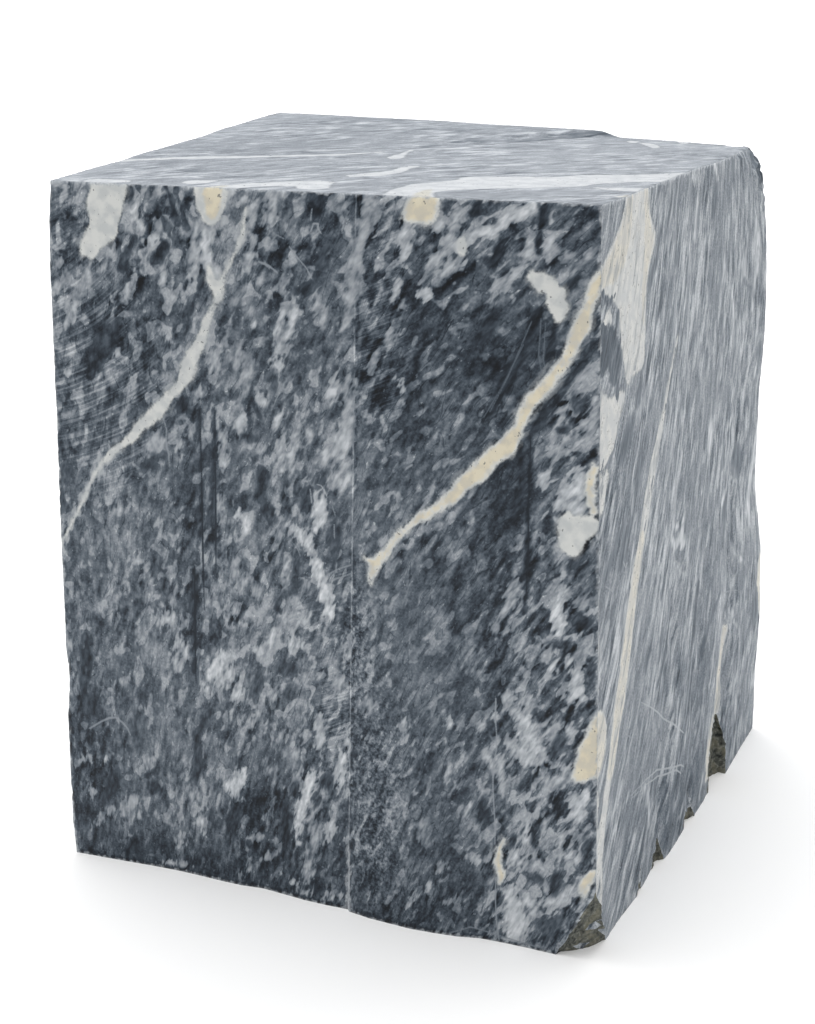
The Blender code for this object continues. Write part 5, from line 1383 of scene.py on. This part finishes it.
def brokenFace(name, look):
    material, tree, shader = newMaterial(name)
    spot = stoneSpot(tree)
    grain = cloud(tree, spot, look["grain"], detail=4.0, rough=0.62, twist=0.4)
    patch = cloud(tree, spot, look["patch"])
    mixed = plus(tree, grain, sway(tree, patch, -0.12, 0.12))
    colour = ramp(tree, mixed, [(0.30, look["dark"]), (0.50, look["mid"]), (0.72, look["light"])])
    warm = blendColour(tree, spread(tree, patch, 0.45, 0.65, 0.0, 0.6), colour, paint(look["warm"]))
    feed(tree, shader.inputs["Base Color"], warm)
    feed(tree, shader.inputs["Roughness"], spread(tree, grain, 0.3, 0.7, *look["rough"]))
    shader.inputs["Specular IOR Level"].default_value = look["specular"]
    addBump(tree, shader, grain, look["bump"], look["bumpDepth"])
    return material


faceMaterials = {
    "front": stoneFace("frontPolished", finishes["front"], frontTraces),
    "right": stoneFace("rightSawn", finishes["right"]),
    "top": stoneFace("topSawn", finishes["top"]),
    "left": stoneFace("leftSawn", finishes["left"]),
    "back": stoneFace("backSawn", finishes["back"]),
    "broken": brokenFace("brokenStone", brokenLook),
    "base": brokenFace("restingBase", {**brokenLook, "dark": (70, 74, 78), "mid": (112, 117, 121)}),
}
print("marble block: finishes ready")

block = makeBlock(blockShape)
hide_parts("marble_block")
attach(block, "root")


studio = {
    "floorHalf": 3.0, "floorRise": 3.2, "floorBend": 1.2, "bendSteps": 12, "floorWide": 1.6,
    "floorGlow": 0.15, "wallGlow": 0.60, "glowDepth": (0.9, 2.4), "floorPaint": (0.86, 0.86, 0.86),
    "skyStrength": 0.58, "lampPower": 60.0, "lampPlace": (-0.30, 0.15, 2.3), "lampSize": 2.2,
    "lampAim": (0.0, 0.0, 0.3),
}
viewer = {"lens": 70.0, "sensor": 36.0, "place": (0.515, -1.327, 0.681), "turns": (72.3, 0.0, 21.8)}


def makeFloor(settings):
    # a sheet of pale paper that bends up behind the block
    mesh = bmesh.new()
    half, bend, steps = settings["floorHalf"], settings["floorBend"], settings["bendSteps"]
    line = [(-half, 0.0), (half - bend, 0.0)]
    for step in range(1, steps + 1):
        angle = math.pi / 2 * step / steps
        line.append((half - bend + bend * math.sin(angle), bend - bend * math.cos(angle)))
    line.append((half, settings["floorRise"]))
    rows = [[mesh.verts.new((side * half * settings["floorWide"], y, z)) for y, z in line]
            for side in (-1, 1)]
    for index in range(len(line) - 1):
        mesh.faces.new((rows[0][index], rows[1][index], rows[1][index + 1], rows[0][index + 1]))
    data = bpy.data.meshes.new("studio_floor")
    mesh.to_mesh(data)
    mesh.free()
    shadeSmooth(data)
    material, tree, shader = newMaterial("palePaper")
    shader.inputs["Base Color"].default_value = (*settings["floorPaint"], 1.0)
    shader.inputs["Roughness"].default_value = 0.9
    shader.inputs["Specular IOR Level"].default_value = 0.1
    shader.inputs["Emission Color"].default_value = (1.0, 1.0, 1.0, 1.0)
    depth = addNode(tree, "ShaderNodeSeparateXYZ")
    feed(tree, depth.inputs[0], addNode(tree, "ShaderNodeTexCoord").outputs["Object"])
    glow = spread(tree, depth.outputs[1], *settings["glowDepth"], settings["floorGlow"], settings["wallGlow"])
    feed(tree, shader.inputs["Emission Strength"], glow)
    data.materials.append(material)
    addObject("studio_floor", data)


def makeLight(settings):
    world = bpy.data.worlds.new("softSky")
    bpy.context.scene.world = world
    world.use_nodes = True
    sky = world.node_tree.nodes["Background"]
    sky.inputs["Color"].default_value = (1.0, 1.0, 1.0, 1.0)
    sky.inputs["Strength"].default_value = settings["skyStrength"]
    lamp = bpy.data.lights.new("softLamp", "AREA")
    lamp.energy = settings["lampPower"]
    lamp.shape = "SQUARE"
    lamp.size = settings["lampSize"]
    holder = addObject("softLamp", lamp)
    holder.location = settings["lampPlace"]
    aim = Vector(settings["lampAim"]) - Vector(settings["lampPlace"])
    holder.rotation_euler = aim.to_track_quat("-Z", "Y").to_euler()
    bpy.context.scene.view_settings.view_transform = "Standard"


def makeCamera(settings):
    camera = bpy.data.cameras.new("viewer")
    camera.lens = settings["lens"]
    camera.sensor_width = settings["sensor"]
    holder = addObject("viewer", camera)
    holder.location = settings["place"]
    holder.rotation_euler = [math.radians(turn) for turn in settings["turns"]]
    bpy.context.scene.camera = holder


makeFloor(studio)
makeLight(studio)
makeCamera(viewer)
print("marble block: stage ready")
